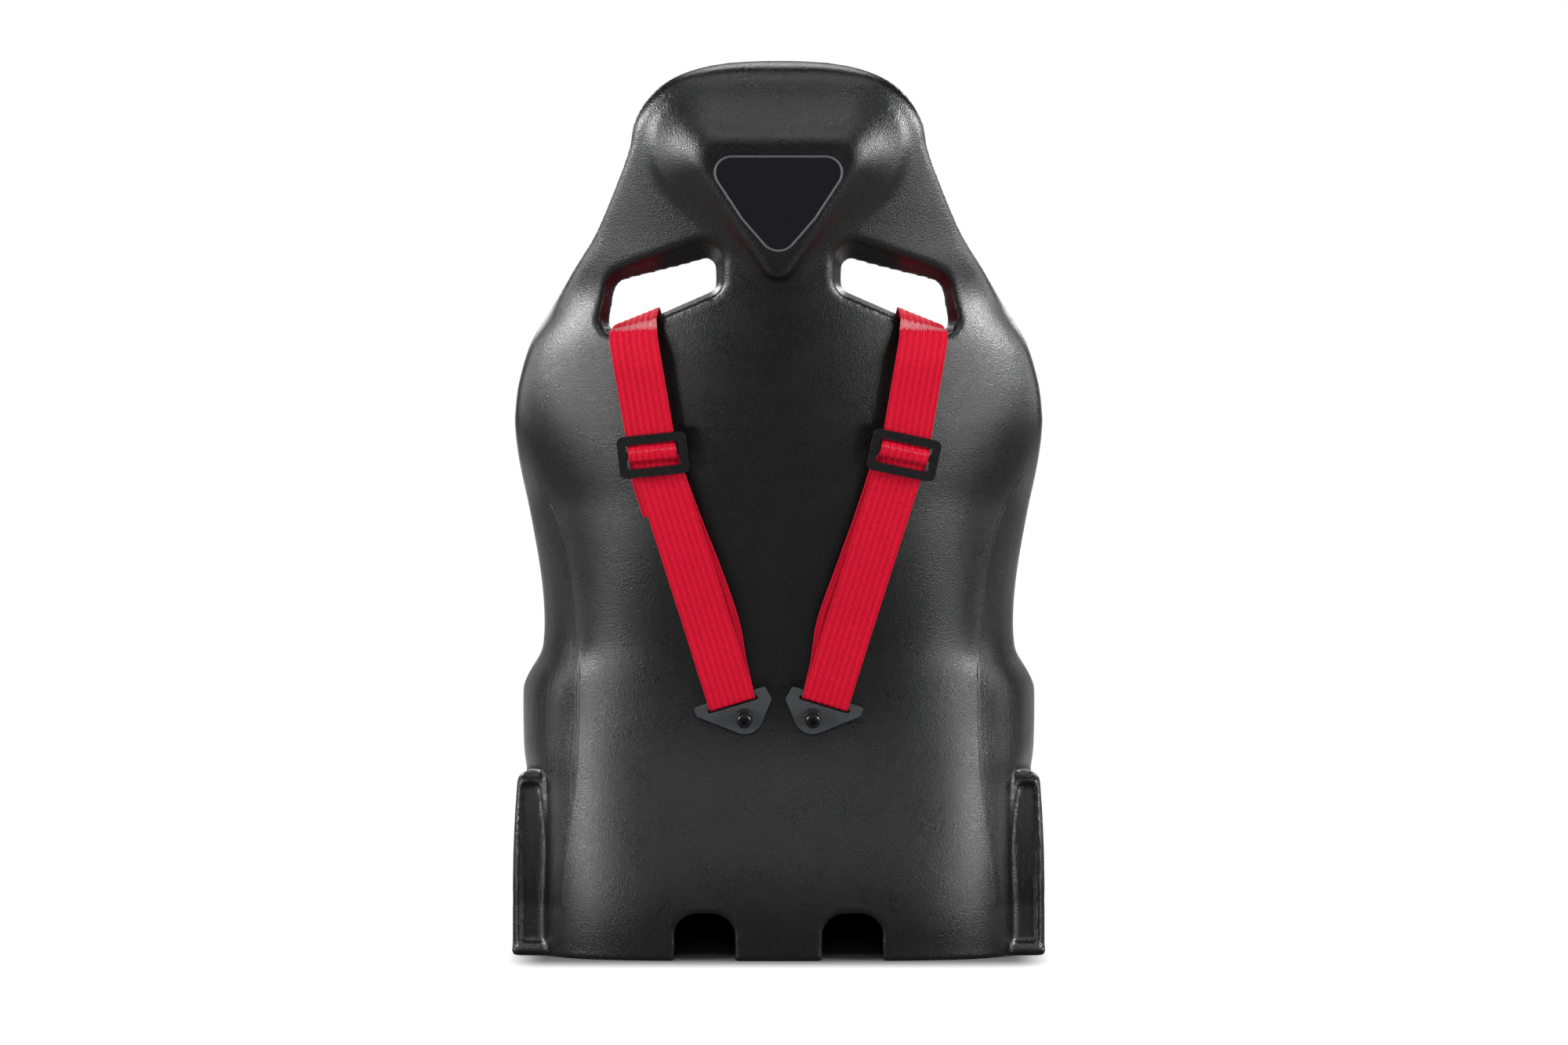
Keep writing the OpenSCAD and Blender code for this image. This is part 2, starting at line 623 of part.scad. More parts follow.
strip_t = 1.8;
strip_w = 30;
module front_strip(x, heights) {
    ribbon(
        [for (z = heights) on_front(x, z, pad_gap / 2)], strip_w, strip_t,
        [for (z = heights) on_front(x + strip_w / 2, z, 0) - on_front(x - strip_w / 2, z, 0)]
    );
}
module hook_strips() {
    color([0.15, 0.15, 0.15]) {
        for (x = [left, right] * seat_pad_w * 0.23)
            ribbon(
                [for (y = [seat_rear + 48:20:seat_front - 66]) [x, y, pan_h(y) + pad_gap / 2]], strip_w, strip_t
            );
        for (x = [left, right] * back_pad_w * 0.18)
            front_strip(x, [for (z = [back_low + 52:20:back_high - 50]) z]);
        for (x = [left, right] * head_pad_w * 0.22)
            front_strip(x, [for (z = [head_low + 24:16:head_high - 30]) z]);
    }
}

// ---------- webbing ----------

function unit(v) = v / norm(v);
function across(way, t) = unit(way - (way * t) * t);
// Flat band along a path; side gives the direction of its width, which is squared to the path
module ribbon(path, width, thick, side = [1, 0, 0]) {
    n = len(path);
    loft([for (i = [0:n - 1]) let (
            t = unit(path[min(i + 1, n - 1)] - path[max(i - 1, 0)]),
            a = across(is_num(side[0]) ? side : side[i], t) * width / 2,
            b = unit(cross(t, a)) * thick / 2
        )
        [path[i] - a - b, path[i] + a - b, path[i] + a + b, path[i] - a + b]], band = true);
}
// Path through guide points, with k parts between each two
function curve(p, k) = [for (i = [0:len(p) - 2], j = [0:k - 1]) let (
        a = p[max(i - 1, 0)], b = p[i], c = p[i + 1], d = p[min(i + 2, len(p) - 1)], u = j / k
    )
    0.5 * (2 * b + (c - a) * u + (2 * a - 5 * b + 4 * c - d) * u * u + (3 * b - a - 3 * c + d) * u * u * u)];

// Webbing that comes in over a plate, goes down through its slot and back underneath:
// [distance from the slot's middle along the webbing, height above the plate's middle]
fold_h = plate_t / 2 + web_t / 2 + 0.5;
fold = [for (a = [90:-30:-90]) [fold_h + 0.1 - fold_h * cos(a), fold_h * sin(a)]];
fold_tail = 34;

adjuster_u = adjuster_gap / 2 - anchor_x;
adjuster_v = up_strap(adjuster_h);
top_u = slot_edge_x - anchor_x;
top_v = up_strap(slot_edge_z - 20);
function shoulder_rear(side) = let (
        s = slot_in_plate,
        low = function (v, w) from_anchor(side, s[0], s[1] + v, plate_mid + w, plate_turn),
        flat = function (u, v, w) from_anchor(side, u, v, plate_mid + w),
        pu = s[0] * cos(plate_turn) + s[1] * sin(plate_turn),
        pv = s[1] * cos(plate_turn) - s[0] * sin(plate_turn),
        run = function (q, w) flat(mix(pu, adjuster_u, q), mix(pv, adjuster_v, q), w)
    )
    concat(
        [for (q = [.2:.2:.8]) flat(mix(top_u, adjuster_u, q), mix(top_v, adjuster_v, q), 0)],
        [flat(adjuster_u, adjuster_v, 0)],
        [for (q = [.9:-.2:.29]) run(q, 0)], [run(.16, fold_h * .6)],
        [for (f = fold) low(f[0], f[1])],
        [run(.16, -fold_h * 1.3)], [for (q = [.3:.2:.9]) run(q, -fold_h * 1.6)]
    );
// Across the slot's edge, from its front to its rear:
// [distance in front of the rear face, height above the edge]
function over_edge(side) = let (
        x = side * slot_edge_x, z = slot_edge_z, f = inner_y(slot_edge_x + web_w / 2, slot_edge_z) - slot_y
    )
    [for (p = [
        [f + 10, -10], [f + 9, -3], [f + 5, 2.5], [f - 2, 4.6], [28, 4.6], [14, 2], [4, -2.5], [-4, -8.5],
        [-rear_lift, -20]
    ])
        [x + side * p[1] * 0.16, slot_y + p[0], z + p[1]]];
// The webbing's middle lies clear of the back pad and of the shell over its whole width
function chest_y(x, z) = let (h = back_half(min(z, back_high - 1)))
    2.5 + max([for (k = [-1:0.5:1]) let (q = abs(x + k * web_w / 2))
    inner_y(q, z) + (q < h && z < back_high ? pad_gap + back_full(q / h, z) : 0)]);
// Distance of the webbing's middle from the centre line, by share of its height up the chest
chest_way = [[0, 52], [.175, 62], [.356, 76], [.562, 93], [.758, 110], [.912, 126], [1, slot_edge_x - 6]];
chest_low = 262;
function chest_x(z) = along(chest_way, (z - chest_low) / (slot_top - 74 - chest_low));
function shoulder_front(side) = let (
        t = tongue_slot * shoulder_way(side), d = shoulder_way(side),
        at = function (s, w) from_buckle(t + s * d + [0, 0, w])
    )
    concat(
        [at(fold_tail, -fold_h), at(fold_tail / 2, -fold_h)],
        [for (i = [len(fold) - 1:-1:0]) at(fold[i][0], fold[i][1])],
        [at(12, fold_h)],
        curve(concat(
            [at(24, fold_h)],
            [for (z = [chest_low + 13:25:slot_top - 79]) let (x = chest_x(z))
                [side * x, chest_y(x, z) + 10 * smooth((300 - z) / 40), z]],
            [over_edge(side)[0]]
        ), 2)
    );
module shoulder_webbing(side) {
    n = len(over_edge(side));
    front = shoulder_front(side);
    rear = shoulder_rear(side);
    edge = [cos(slot_slope), 0, -side * sin(slot_slope)];
    drop = side * sin(plate_turn);
    plate = [cos(plate_turn), drop * sin(strap_lean), -drop * cos(strap_lean)];
    tongue_ends = len(fold) + 3;
    at_tongue = slot_way(1, side * shoulder_way(side));
    color([0.8, 0.04, 0.12]) ribbon(
        concat(front, over_edge(side), rear), web_w, web_t,
        concat(
            [for (i = [0:len(front) - 1]) i <= tongue_ends ? at_tongue : [1, 0, 0]],
            [for (i = [1:n]) edge], [for (p = rear) p[2] < anchor_h + 30 ? plate : [1, 0, 0]]
        )
    );
}

// ---------- rear anchors ----------

anchor_sink = -4;               // the insert's flange sits this deep
collar_l = 12;
collar_r = 8.6;
spigot_r = bolt_r + 1.6;
head_r = bolt_r + 2.4;
head_l = 11;
collar_z = plate_mid + plate_t / 2 + gap;
module anchor_plate(side) {
    color([0.2, 0.2, 0.21]) at_anchor(side) rotate([0, 0, -side * plate_turn])
        mirror([side == left ? 1 : 0, 0, 0]) translate([0, 0, plate_mid - plate_t / 2]) difference() {
            linear_extrude(plate_t) hull() {
                circle(20);
                for (p = [[-27, 20.5], [-29, 9.5], [45, 20.5], [44.5, 16]])
                    translate(p) circle(3.5, $fn = 24);
            }
            translate([0, 0, -1]) cylinder(r = spigot_r + fit, h = plate_t + 2);
            translate([slot_in_plate[0], slot_in_plate[1], -1]) webbing_slot();
        }
}
module webbing_slot() {
    linear_extrude(plate_t + 2) hull() for (x = [left, right])
        translate([x * (web_w / 2 + 0.5), 0]) circle(2.4, $fn = 24);
}
module anchor_spacers() {
    color([0.3, 0.3, 0.31]) for (side = [left, right]) at_anchor(side) difference() {
        translate([0, 0, anchor_sink + 0.02]) cylinder(r = 9.5, h = standoff - anchor_sink - 0.02);
        translate([0, 0, -20]) cylinder(r = bolt_r + 0.2, h = 60);
    }
}
module anchor_collars() {
    color([0.3, 0.3, 0.31]) for (side = [left, right]) at_anchor(side) difference() {
        union() {
            translate([0, 0, collar_z]) cylinder(r = collar_r, h = collar_l);
            translate([0, 0, standoff]) cylinder(r = spigot_r, h = collar_z - standoff + 1);
        }
        cylinder(r = bolt_r + 0.2, h = 60);
    }
}
module anchor_bolts() {
    under = collar_z + collar_l;
    color([0.1, 0.1, 0.1]) for (side = [left, right]) at_anchor(side) difference() {
        union() {
            translate([0, 0, anchor_sink - 20]) cylinder(r = bolt_r, h = under - anchor_sink + 21);
            translate([0, 0, under]) cylinder(r = head_r, h = head_l - 1);
            translate([0, 0, under + head_l - 1]) cylinder(r1 = head_r, r2 = head_r - 1, h = 1);
        }
        translate([0, 0, under + head_l - 6]) cylinder(r = bolt_r * 0.8, h = 10, $fn = 6);
    }
}

// ---------- slide adjusters ----------

adjuster_w = 72;
adjuster_l = 44;
adjuster_t = 4;
bar_w = 7;
adjuster_low = web_t * 1.5 + 3 * gap;        // underside of the frame above the strap's middle
fold_top = adjuster_low + adjuster_t + gap + web_t / 2;
module at_adjuster(side) {
    at_anchor(side) translate([side * adjuster_u, adjuster_v, plate_mid])
        rotate([0, 0, -side * (side == left ? adjuster_turn_left : adjuster_turn_right)]) children();
}
module adjuster(side) {
    window_w = web_w + 5;
    window_l = adjuster_l - 18;
    color([0.08, 0.08, 0.085]) at_adjuster(side) translate([0, 0, adjuster_low]) {
        difference() {
            linear_extrude(adjuster_t) hull() for (x = [left, right], y = [-1, 1])
                translate([x * (adjuster_w / 2 - 6), y * (adjuster_l / 2 - 6)]) circle(6, $fn = 32);
            translate([0, 0, -1]) linear_extrude(adjuster_t + 2) hull() for (x = [left, right], y = [-1, 1])
                translate([x * (window_w / 2 - 3), y * (window_l / 2 - 3)]) circle(3, $fn = 24);
        }
        // the cross bar under the fold
        translate([-window_w / 2 - 1, 2 - bar_w / 2, 0.2]) cube([window_w + 2, bar_w, adjuster_t - 0.4]);
    }
}
// The webbing's fold over the cross bar, which shows in the window
module adjuster_fold(side) {
    low = web_t + gap;
    way = [[17, low], [12.4, low + .2], [9.9, 4.4], [8, fold_top - .9], [5, fold_top], [2, fold_top + .2],
        [-1, fold_top], [-4, fold_top - .9], [-6.3, 4.4], [-9.4, low + .2], [-17, low]];
    color([0.8, 0.04, 0.12]) at_adjuster(side) ribbon([for (p = way) [0, p[0], p[1]]], web_w, web_t);
}

// ---------- tongues, buckle and lap straps ----------

module tongue(way) {
    tip = 14;
    color([0.75, 0.75, 0.76]) at_buckle() rotate([0, 0, atan2(way[1], way[0])])
        translate([0, 0, -plate_t / 2]) difference() {
            linear_extrude(plate_t) polygon([
                [tip, -6], [tip + 2, -8.5], [buckle_r + 3, -8.5], [tongue_slot - 8, -web_w / 2 - 7],
                [tongue_slot + 5, -web_w / 2 - 7], [tongue_slot + 8, -web_w / 2 - 4],
                [tongue_slot + 8, web_w / 2 + 4], [tongue_slot + 5, web_w / 2 + 7],
                [tongue_slot - 8, web_w / 2 + 7], [buckle_r + 3, 8.5], [tip + 2, 8.5], [tip, 6]
            ]);
            translate([tip + 4, -4, -1]) cube([6, 8, plate_t + 2]);
            translate([tongue_slot, 0, -1]) rotate([0, 0, 90]) webbing_slot();
        }
}

post_r = 4;
hub_r = 9;
housing_z = -7;
cover_z = 4;
cover_t = buckle_h - 11;
knob_r = buckle_r - 6;
knob_z = cover_z + cover_t + gap;
knob_t = 9;
module buckle_housing() {
    color([0.1, 0.1, 0.1]) at_buckle() difference() {
        union() {
            translate([0, 0, housing_z]) cylinder(r1 = buckle_r - 2, r2 = buckle_r, h = 2);
            translate([0, 0, housing_z + 2]) cylinder(r = buckle_r, h = cover_z - housing_z - 2);
        }
        translate([0, 0, housing_z - 1]) cylinder(r = post_r + 0.1, h = 20);
        for (way = [shoulder_way(left), shoulder_way(right), lap_way(left), lap_way(right)])
            rotate([0, 0, atan2(way[1], way[0])])
                translate([12, -9, -plate_t / 2 - gap]) cube([40, 18, plate_t + 2 * gap]);
    }
}
module buckle_cover() {
    color([0.12, 0.12, 0.12]) at_buckle() difference() {
        union() {
            translate([0, 0, cover_z]) cylinder(r = buckle_r, h = cover_t - 2);
            translate([0, 0, cover_z + cover_t - 2]) cylinder(r1 = buckle_r, r2 = buckle_r - 2, h = 2);
        }
        translate([0, 0, cover_z - 1]) cylinder(r = hub_r + fit, h = 30);
    }
}
module buckle_post() {
    color([0.7, 0.7, 0.7]) at_buckle() translate([0, 0, housing_z])
        cylinder(r = post_r, h = knob_z + knob_t - 5 - housing_z);
}
module release_knob() {
    color([0.75, 0.05, 0.1]) at_buckle() difference() {
        union() {
            translate([0, 0, knob_z]) cylinder(r = knob_r, h = knob_t - 2);
            translate([0, 0, knob_z + knob_t - 2]) cylinder(r1 = knob_r, r2 = knob_r - 2, h = 2);
            translate([0, 0, cover_z + gap]) cylinder(r = hub_r, h = knob_z - cover_z);
        }
        // finger scallops round the rim
        for (a = [30:60:330]) rotate([0, 0, a])
            translate([knob_r + 5, 0, knob_z + 2]) cylinder(r = 8, h = 20);
        cylinder(r = post_r + fit, h = 60);
        translate([0, 0, knob_z + knob_t - 5]) cylinder(r = 7.2, h = 20);
    }
}
module knob_screw() {
    color([0.6, 0.6, 0.6]) at_buckle() difference() {
        translate([0, 0, knob_z + knob_t - 5 + 0.02]) cylinder(r = 6.8, h = 3);
        translate([0, 0, knob_z + knob_t - 4]) cylinder(r = 3, h = 4, $fn = 6);
    }
}

lap_stand = 2.6;                // the bush's flange holds the plate off the wall
lap_mid = lap_stand + gap + plate_t / 2;
module lap_plate(side) {
    color([0.75, 0.75, 0.76]) at_lap(side) translate([0, 0, lap_mid - plate_t / 2]) difference() {
        linear_extrude(plate_t) hull() {
            circle(15);
            for (x = [-7, 5], y = [left, right])
                translate([side * (lap_plate_up + x), y * (web_w / 2 + 4)]) circle(4, $fn = 24);
        }
        translate([0, 0, -1]) cylinder(r = lap_bolt_r + 1.5 + fit, h = plate_t + 2);
        translate([side * lap_plate_up, 0, -1]) rotate([0, 0, 90]) webbing_slot();
    }
}
module lap_bushes() {
    color([0.3, 0.3, 0.31]) for (side = [left, right]) at_lap(side) difference() {
        union() {
            cylinder(r = 10, h = lap_stand);
            cylinder(r = lap_bolt_r + 1.5, h = lap_mid + plate_t / 2 + gap);
        }
        translate([0, 0, -1]) cylinder(r = lap_bolt_r + 0.2, h = 20);
    }
}
module lap_bolts() {
    under = lap_mid + plate_t / 2 + gap;
    color([0.1, 0.1, 0.1]) for (side = [left, right]) at_lap(side) difference() {
        union() {
            translate([0, 0, -20]) cylinder(r = lap_bolt_r, h = 21 + under);
            translate([0, 0, under]) cylinder(r1 = 11, r2 = 8, h = 5);
        }
        translate([0, 0, under + 1]) cylinder(r = 3.5, h = 10, $fn = 6);
    }
}
function lap_path(side) = let (
        d = lap_way(side), t = tongue_slot * d,
        at = function (s, w) from_buckle(t + s * d + [0, 0, w]),
        low = function (s, w) [side * (lap_face_x - lap_mid - w), lap_y, lap_h + lap_plate_up + s],
        a = low(10, fold_h), b = at(18, fold_h + 0.4)
    )
    concat(
        [low(fold_tail, -fold_h - .4)],
        [for (i = [len(fold) - 1:-1:0]) low(fold[i][0], fold[i][1])],
        [for (q = [0:.1:1]) bezier(a, a + [-side * 8, 0, 75], b + [side * 60, 4, 6], b, q)],
        [for (f = fold) at(f[0], f[1])],
        [at(fold_tail, -fold_h)]
    );
module lap_webbing(side) {
    path = lap_path(side);
    color([0.8, 0.04, 0.12]) ribbon(path, web_w, web_t, [for (i = [0:len(path) - 1])
        mix([0, 1, 0], slot_way(side, lap_way(side)), smooth((i - 8) / (len(path) - 17)))]);
}

// ---------- threaded inserts ----------

module side_inserts() {
    color([0.7, 0.6, 0.3]) at_side_bolts() insert(thread_r);
}
module base_inserts() {
    color([0.7, 0.6, 0.3]) at_base_bolts() insert(thread_r);
}
module anchor_inserts() {
    color([0.7, 0.6, 0.3]) for (side = [left, right])
        at_anchor(side) translate([0, 0, anchor_sink]) insert(bolt_r + 0.1);
}
module lap_inserts() {
    color([0.7, 0.6, 0.3]) for (side = [left, right]) at_lap(side) insert(lap_bolt_r + 0.1);
}

seat_shell();
badge_plate();
head_pad();
back_pad();
seat_pad();
hook_strips();
side_inserts();
base_inserts();
anchor_inserts();
lap_inserts();
anchor_spacers();
anchor_collars();
anchor_bolts();
anchor_plate(left);  // anchor_plate_left
anchor_plate(right);  // anchor_plate_right
adjuster(left);  // adjuster_left
adjuster(right);  // adjuster_right
adjuster_fold(left);  // adjuster_fold_left
adjuster_fold(right);  // adjuster_fold_right
shoulder_webbing(left);  // shoulder_webbing_left
shoulder_webbing(right);  // shoulder_webbing_right
tongue(shoulder_way(left));  // shoulder_tongue_left
tongue(shoulder_way(right));  // shoulder_tongue_right
lap_plate(left);  // lap_plate_left
lap_plate(right);  // lap_plate_right
lap_bushes();
lap_bolts();
lap_webbing(left);  // lap_webbing_left
lap_webbing(right);  // lap_webbing_right
tongue(lap_way(left));  // lap_tongue_left
tongue(lap_way(right));  // lap_tongue_right
buckle_housing();
buckle_cover();
buckle_post();
release_knob();
knob_screw();
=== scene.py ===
"""A moulded bucket racing seat with a red four-point harness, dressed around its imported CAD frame.

Shapes are worked out in millimetres, in the frame's own axes, and scaled to metres when a mesh is made.
"""
import math

import bmesh
import bpy
import numpy as np
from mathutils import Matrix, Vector


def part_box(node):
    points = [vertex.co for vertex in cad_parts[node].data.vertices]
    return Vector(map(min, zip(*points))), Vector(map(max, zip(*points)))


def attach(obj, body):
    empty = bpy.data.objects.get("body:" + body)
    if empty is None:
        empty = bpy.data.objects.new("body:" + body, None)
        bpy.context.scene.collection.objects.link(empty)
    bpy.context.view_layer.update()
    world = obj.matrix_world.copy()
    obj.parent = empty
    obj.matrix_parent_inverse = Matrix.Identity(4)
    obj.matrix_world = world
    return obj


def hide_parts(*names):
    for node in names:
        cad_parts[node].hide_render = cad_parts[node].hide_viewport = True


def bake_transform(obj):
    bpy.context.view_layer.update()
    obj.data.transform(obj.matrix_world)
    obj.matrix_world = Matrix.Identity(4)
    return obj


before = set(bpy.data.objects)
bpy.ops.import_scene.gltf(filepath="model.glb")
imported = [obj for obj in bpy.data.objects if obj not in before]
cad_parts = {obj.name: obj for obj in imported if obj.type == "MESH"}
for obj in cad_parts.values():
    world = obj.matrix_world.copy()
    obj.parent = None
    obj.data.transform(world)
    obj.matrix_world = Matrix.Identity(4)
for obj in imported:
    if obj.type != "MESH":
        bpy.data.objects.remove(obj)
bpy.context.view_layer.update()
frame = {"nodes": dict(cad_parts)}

MM = 0.001
LEFT, RIGHT = -1, 1


# ---------------------------------------------------------------- sizes, from the frame

def cad(node):
    """Lowest and highest corner of a CAD node, in millimetres."""
    low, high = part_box(node)
    return np.array(low) / MM, np.array(high) / MM


shell_top = cad("seat_shell")[1]
SHELL_H = shell_top[2]
SHOULDER_W = 2 * shell_top[0]
POD_W = 2 * (cad("side_inserts")[1][0] + 1)
# the rest as in the part's source
FRONT_Y = 300.0
SHOULDER_H = 572.0
WAIST_W = 515.0
HIP_W = 557.0
HEAD_W = 302.0
RECLINE = 17.0
BACK_T = 42.0
WING_T = 28.0
SKIRT_T = 26.0
POD_H = 195.0
POD_OUT = 6.5
POD_IN = POD_W / 2 - 66      # inner side of the pods at the floor
CREASE_H = 285.0
LUMBAR_Y = -205.0
SKIRT_LEAN = 7.0
HIP_H = 281.0
WAIST_H = HIP_H + 64
HEAD_H = SHELL_H - 81
CROWN_ROLL = 60.0
CROWN_DEPTH = 30.0
VALLEY_H = SHELL_H - 39      # a shallow valley across the head, below the crown
SLOT_TOP = HEAD_H - 127
PAN_T = 24.0
WEB_W = 50.0
WEB_T = 1.6
PLATE_T = 3.0
BOSS_T = 17.7                # height of the shield-shaped boss
BADGE_RISE = 51.1            # from the badge's middle to its top edge


# ---------------------------------------------------------------- curves

def clamp01(t):
    return np.clip(t, 0.0, 1.0)


def smooth(t):
    u = clamp01(t)
    return u * u * (3 - 2 * u)


def mix(a, b, t):
    return a + (b - a) * t


def ramp(t, b):
    """0 below, t above, with a smooth bend from -b to b."""
    return np.where(t < -b, 0.0, np.where(t > b, t, (t + b) ** 2 / (4 * b)))


def along(table, at):
    """Smooth curve through the rows (position, value) of a table."""
    p, v = np.array(table, float).T
    i = np.clip(np.searchsorted(p, at, "right") - 1, 0, len(p) - 2)
    low, high = np.maximum(np.arange(len(p)) - 1, 0), np.minimum(np.arange(len(p)) + 1, len(p) - 1)
    rise = (v[high] - v[low]) / (p[high] - p[low])
    h = p[i + 1] - p[i]
    u = clamp01((at - p[i]) / h)
    return (v[i] * (1 + 2 * u) * (1 - u) ** 2 + rise[i] * h * u * (1 - u) ** 2
            + v[i + 1] * u * u * (3 - 2 * u) + rise[i + 1] * h * u * u * (u - 1))


def bezier(a, b, c, d, t):
    return a * (1 - t) ** 3 + b * 3 * t * (1 - t) ** 2 + c * 3 * t * t * (1 - t) + d * t ** 3


def arc(path):
    """Length along a line of points, from 0 at its first."""
    return np.concatenate([[0], np.cumsum(np.linalg.norm(np.diff(path, axis=0), axis=1))])


def up(t):
    """Height at a share of the way from the shoulders to the crown."""
    return mix(SHOULDER_H, HEAD_H, t)


# share of the way up from the shoulders, and share of the shoulders' extra width there
FLANK = [(0, 1), (.14, .96), (.29, .865), (.42, .685), (.56, .48), (.68, .29), (.81, .15), (.93, .045),
         (1, 0)]
# height, and how far the outline stands out from the plain one of the solids
TRIM = [(0, 0), (185, 0), (215, 4), (300, 5), (330, 1.5), (350, 0), (420, -2.2), (520, -3), (600, -3.2),
        (645, -4.4), (700, -2.4), (760, 1), (830, 1.4), (SHELL_H, 0)]


def half_w(z):
    """Half the shell's width at height z."""
    return plain_half_w(z) + along(TRIM, np.asarray(z, float))


def plain_half_w(z):
    """The same without the trim, piece by piece: pods, hips, waist, shoulders, head, crown."""
    z = np.asarray(z, float)
    foot = POD_W / 2 - POD_OUT
    crown = clamp01((z - HEAD_H) / (SHELL_H - HEAD_H))
    return np.select(
        [z < POD_H, z < HIP_H, z < WAIST_H, z < SHOULDER_H, z < HEAD_H],
        [
            foot + 2 * z / POD_H,
            mix(foot + 2, HIP_W / 2, smooth((z - POD_H) / (HIP_H - POD_H))),
            mix(HIP_W / 2, WAIST_W / 2, smooth((z - HIP_H) / 46)),
            mix(WAIST_W / 2, SHOULDER_W / 2, smooth((z - WAIST_H) / (SHOULDER_H - WAIST_H))),
            mix(HEAD_W / 2, SHOULDER_W / 2, along(FLANK, (z - SHOULDER_H) / (HEAD_H - SHOULDER_H))),
        ],
        HEAD_W / 2 * np.maximum(0, 1 - crown ** 2) ** 0.385,
    )


def tan(degrees):
    return math.tan(math.radians(degrees))


def lean_y(z):
    """The plain leaning back, bent at the crease above the seat."""
    z = np.asarray(z, float)
    return LUMBAR_Y - tan(RECLINE) * ramp(z - CREASE_H, 90) - tan(SKIRT_LEAN) * ramp(CREASE_H - z, 60)


def rear_y(z):
    """The shell's rear face on the centre line."""
    z = np.asarray(z, float)
    roll = clamp01((z - SHELL_H + CROWN_ROLL) / CROWN_ROLL)
    valley = 3.4 * np.exp(-((z - VALLEY_H) / 9) ** 2)
    skirt_curl = 16 * clamp01(1 - z / 110) ** 2
    return lean_y(z) + CROWN_DEPTH * (1 - np.sqrt(1 - roll ** 2)) + valley + skirt_curl


# height and y of the front edge
EDGE = (
    [(0, FRONT_Y - 8), (60, FRONT_Y), (150, FRONT_Y), (200, FRONT_Y - 8), (HIP_H - 51, FRONT_Y - 26)]
    + [(HIP_H + d, mix(-20, FRONT_Y - 8, s)) for d, s in ((-31, .75), (-17, .525), (-5, .307), (5, .112))]
    + [(z, float(lean_y(z)) + d) for z, d in (
        (HIP_H + 19, 190), (HIP_H + 44, 176), (400, 174), (500, 180.7), (SHOULDER_H - 2, 180.1),
        (up(.208), 160.5), (up(.423), 122.8), (up(.602), 86.1), (up(.781), 59.4), (HEAD_H, 40),
        (HEAD_H + 49, 41), (SHELL_H, 43))]
)


def edge_y(z):
    """Front edge of the wings and of the base."""
    return along(EDGE, z)


# the turn from the back to the sides, all by height: share of the width that stays flat, how far the curve
# stands in from the side, its depth, and how far ahead of the rear face the side begins
TURN_FLAT = [(0, .84), (250, .80), (350, .77), (430, .66), (500, .55), (up(.1), .42), (up(.46), .40),
             (HEAD_H, .45), (SHELL_H, .4)]
TURN_FLARE = [(0, 14), (250, 30), (350, 34), (500, 24), (up(.1), 9), (up(.46), 8), (HEAD_H, 8), (SHELL_H, 6)]
TURN_DEPTH = [(0, 14), (250, 12), (350, 16), (500, 34), (up(.1), 56), (up(.46), 56), (up(.67), 46),
              (up(.82), 32), (HEAD_H, 20), (SHELL_H, 8)]
TURN_BACK = [(200, 170), (350, 210), (440, 200), (540, 125), (600, 108), (SHELL_H, 108)]
# the sitter's side: step in from the outline, thickness of the back, share that stays flat
INNER_STEP = [(90, -88), (150, -70), (200, -56), (HIP_H, -WING_T - 8), (WAIST_H, -WING_T),
              (SHOULDER_H, -WING_T), (up(.32), -WING_T + 3), (up(.6), -14), (up(.82), 2), (HEAD_H, 16),
              (SHELL_H + 60, 30)]
INNER_T = [(0, BACK_T + 6), (250, BACK_T + 4), (420, BACK_T), (up(.1), BACK_T - 5), (up(.64), BACK_T),
           (HEAD_H, BACK_T + 4), (SHELL_H + 60, BACK_T + 4)]
INNER_FLAT = [(0, .74), (300, .74), (450, .62), (up(.1), .52), (up(.64), .5), (SHELL_H + 60, .5)]
# y and height of the seat pan
PAN = [(-200, 128), (-150, 110), (-80, 104), (20, 104), (120, 115), (210, 134), (FRONT_Y - 20, 156),
       (FRONT_Y + 40, 172)]


def side_start(z):
    return np.minimum(edge_y(z) - 14, rear_y(z) + along(TURN_BACK, z))


def outer_turn(z, t):
    """Half section of the rear face at height z, from the centre line (t = 0) to the side (t = 1)."""
    w, y, s = half_w(np.minimum(z, HEAD_H)), rear_y(z), side_start(z)
    p2x = w - along(TURN_FLARE, z)
    p2y = y + np.minimum(along(TURN_DEPTH, z), (s - y) * .6)
    return bezier(0, w * along(TURN_FLAT, z), p2x, w, t), bezier(y, y, p2y, s, t)


def inner_w(z):
    return half_w(np.minimum(z, SHELL_H - 14)) + along(INNER_STEP, z)


def front_of_back(z):
    return lean_y(z) + along(INNER_T, z)


def inner_turn(z, t):
    w, y = inner_w(z), front_of_back(z)
    return (bezier(0, w * along(INNER_FLAT, z), w - 16, w, t),
            bezier(y, y, y + 24, np.maximum(edge_y(z) - 12, y + 40), t))


def pan_h(y):
    return along(PAN, y)


T = np.linspace(0, 1, 240)   # steps along a half section


def face_y(turn, x, z):
    """y of a rear or inner face at |x| and height z."""
    xs, ys = turn(float(z), T)
    return float(np.interp(abs(x), xs, ys))


def back_y(x, z):
    return face_y(outer_turn, x, z)


def inner_y(x, z):
    return face_y(inner_turn, x, z)


# ---------------------------------------------------------------- fields: negative inside, in millimetres

def round_max(a, b, r):
    """Intersection of two fields with an edge rounded to radius r."""
    return np.minimum(np.maximum(a, b), -r) + np.hypot(np.maximum(a + r, 0), np.maximum(b + r, 0))


def round_min(a, b, r):
    """Union of two fields with a fillet of radius r."""
    return -round_max(-a, -b, r)


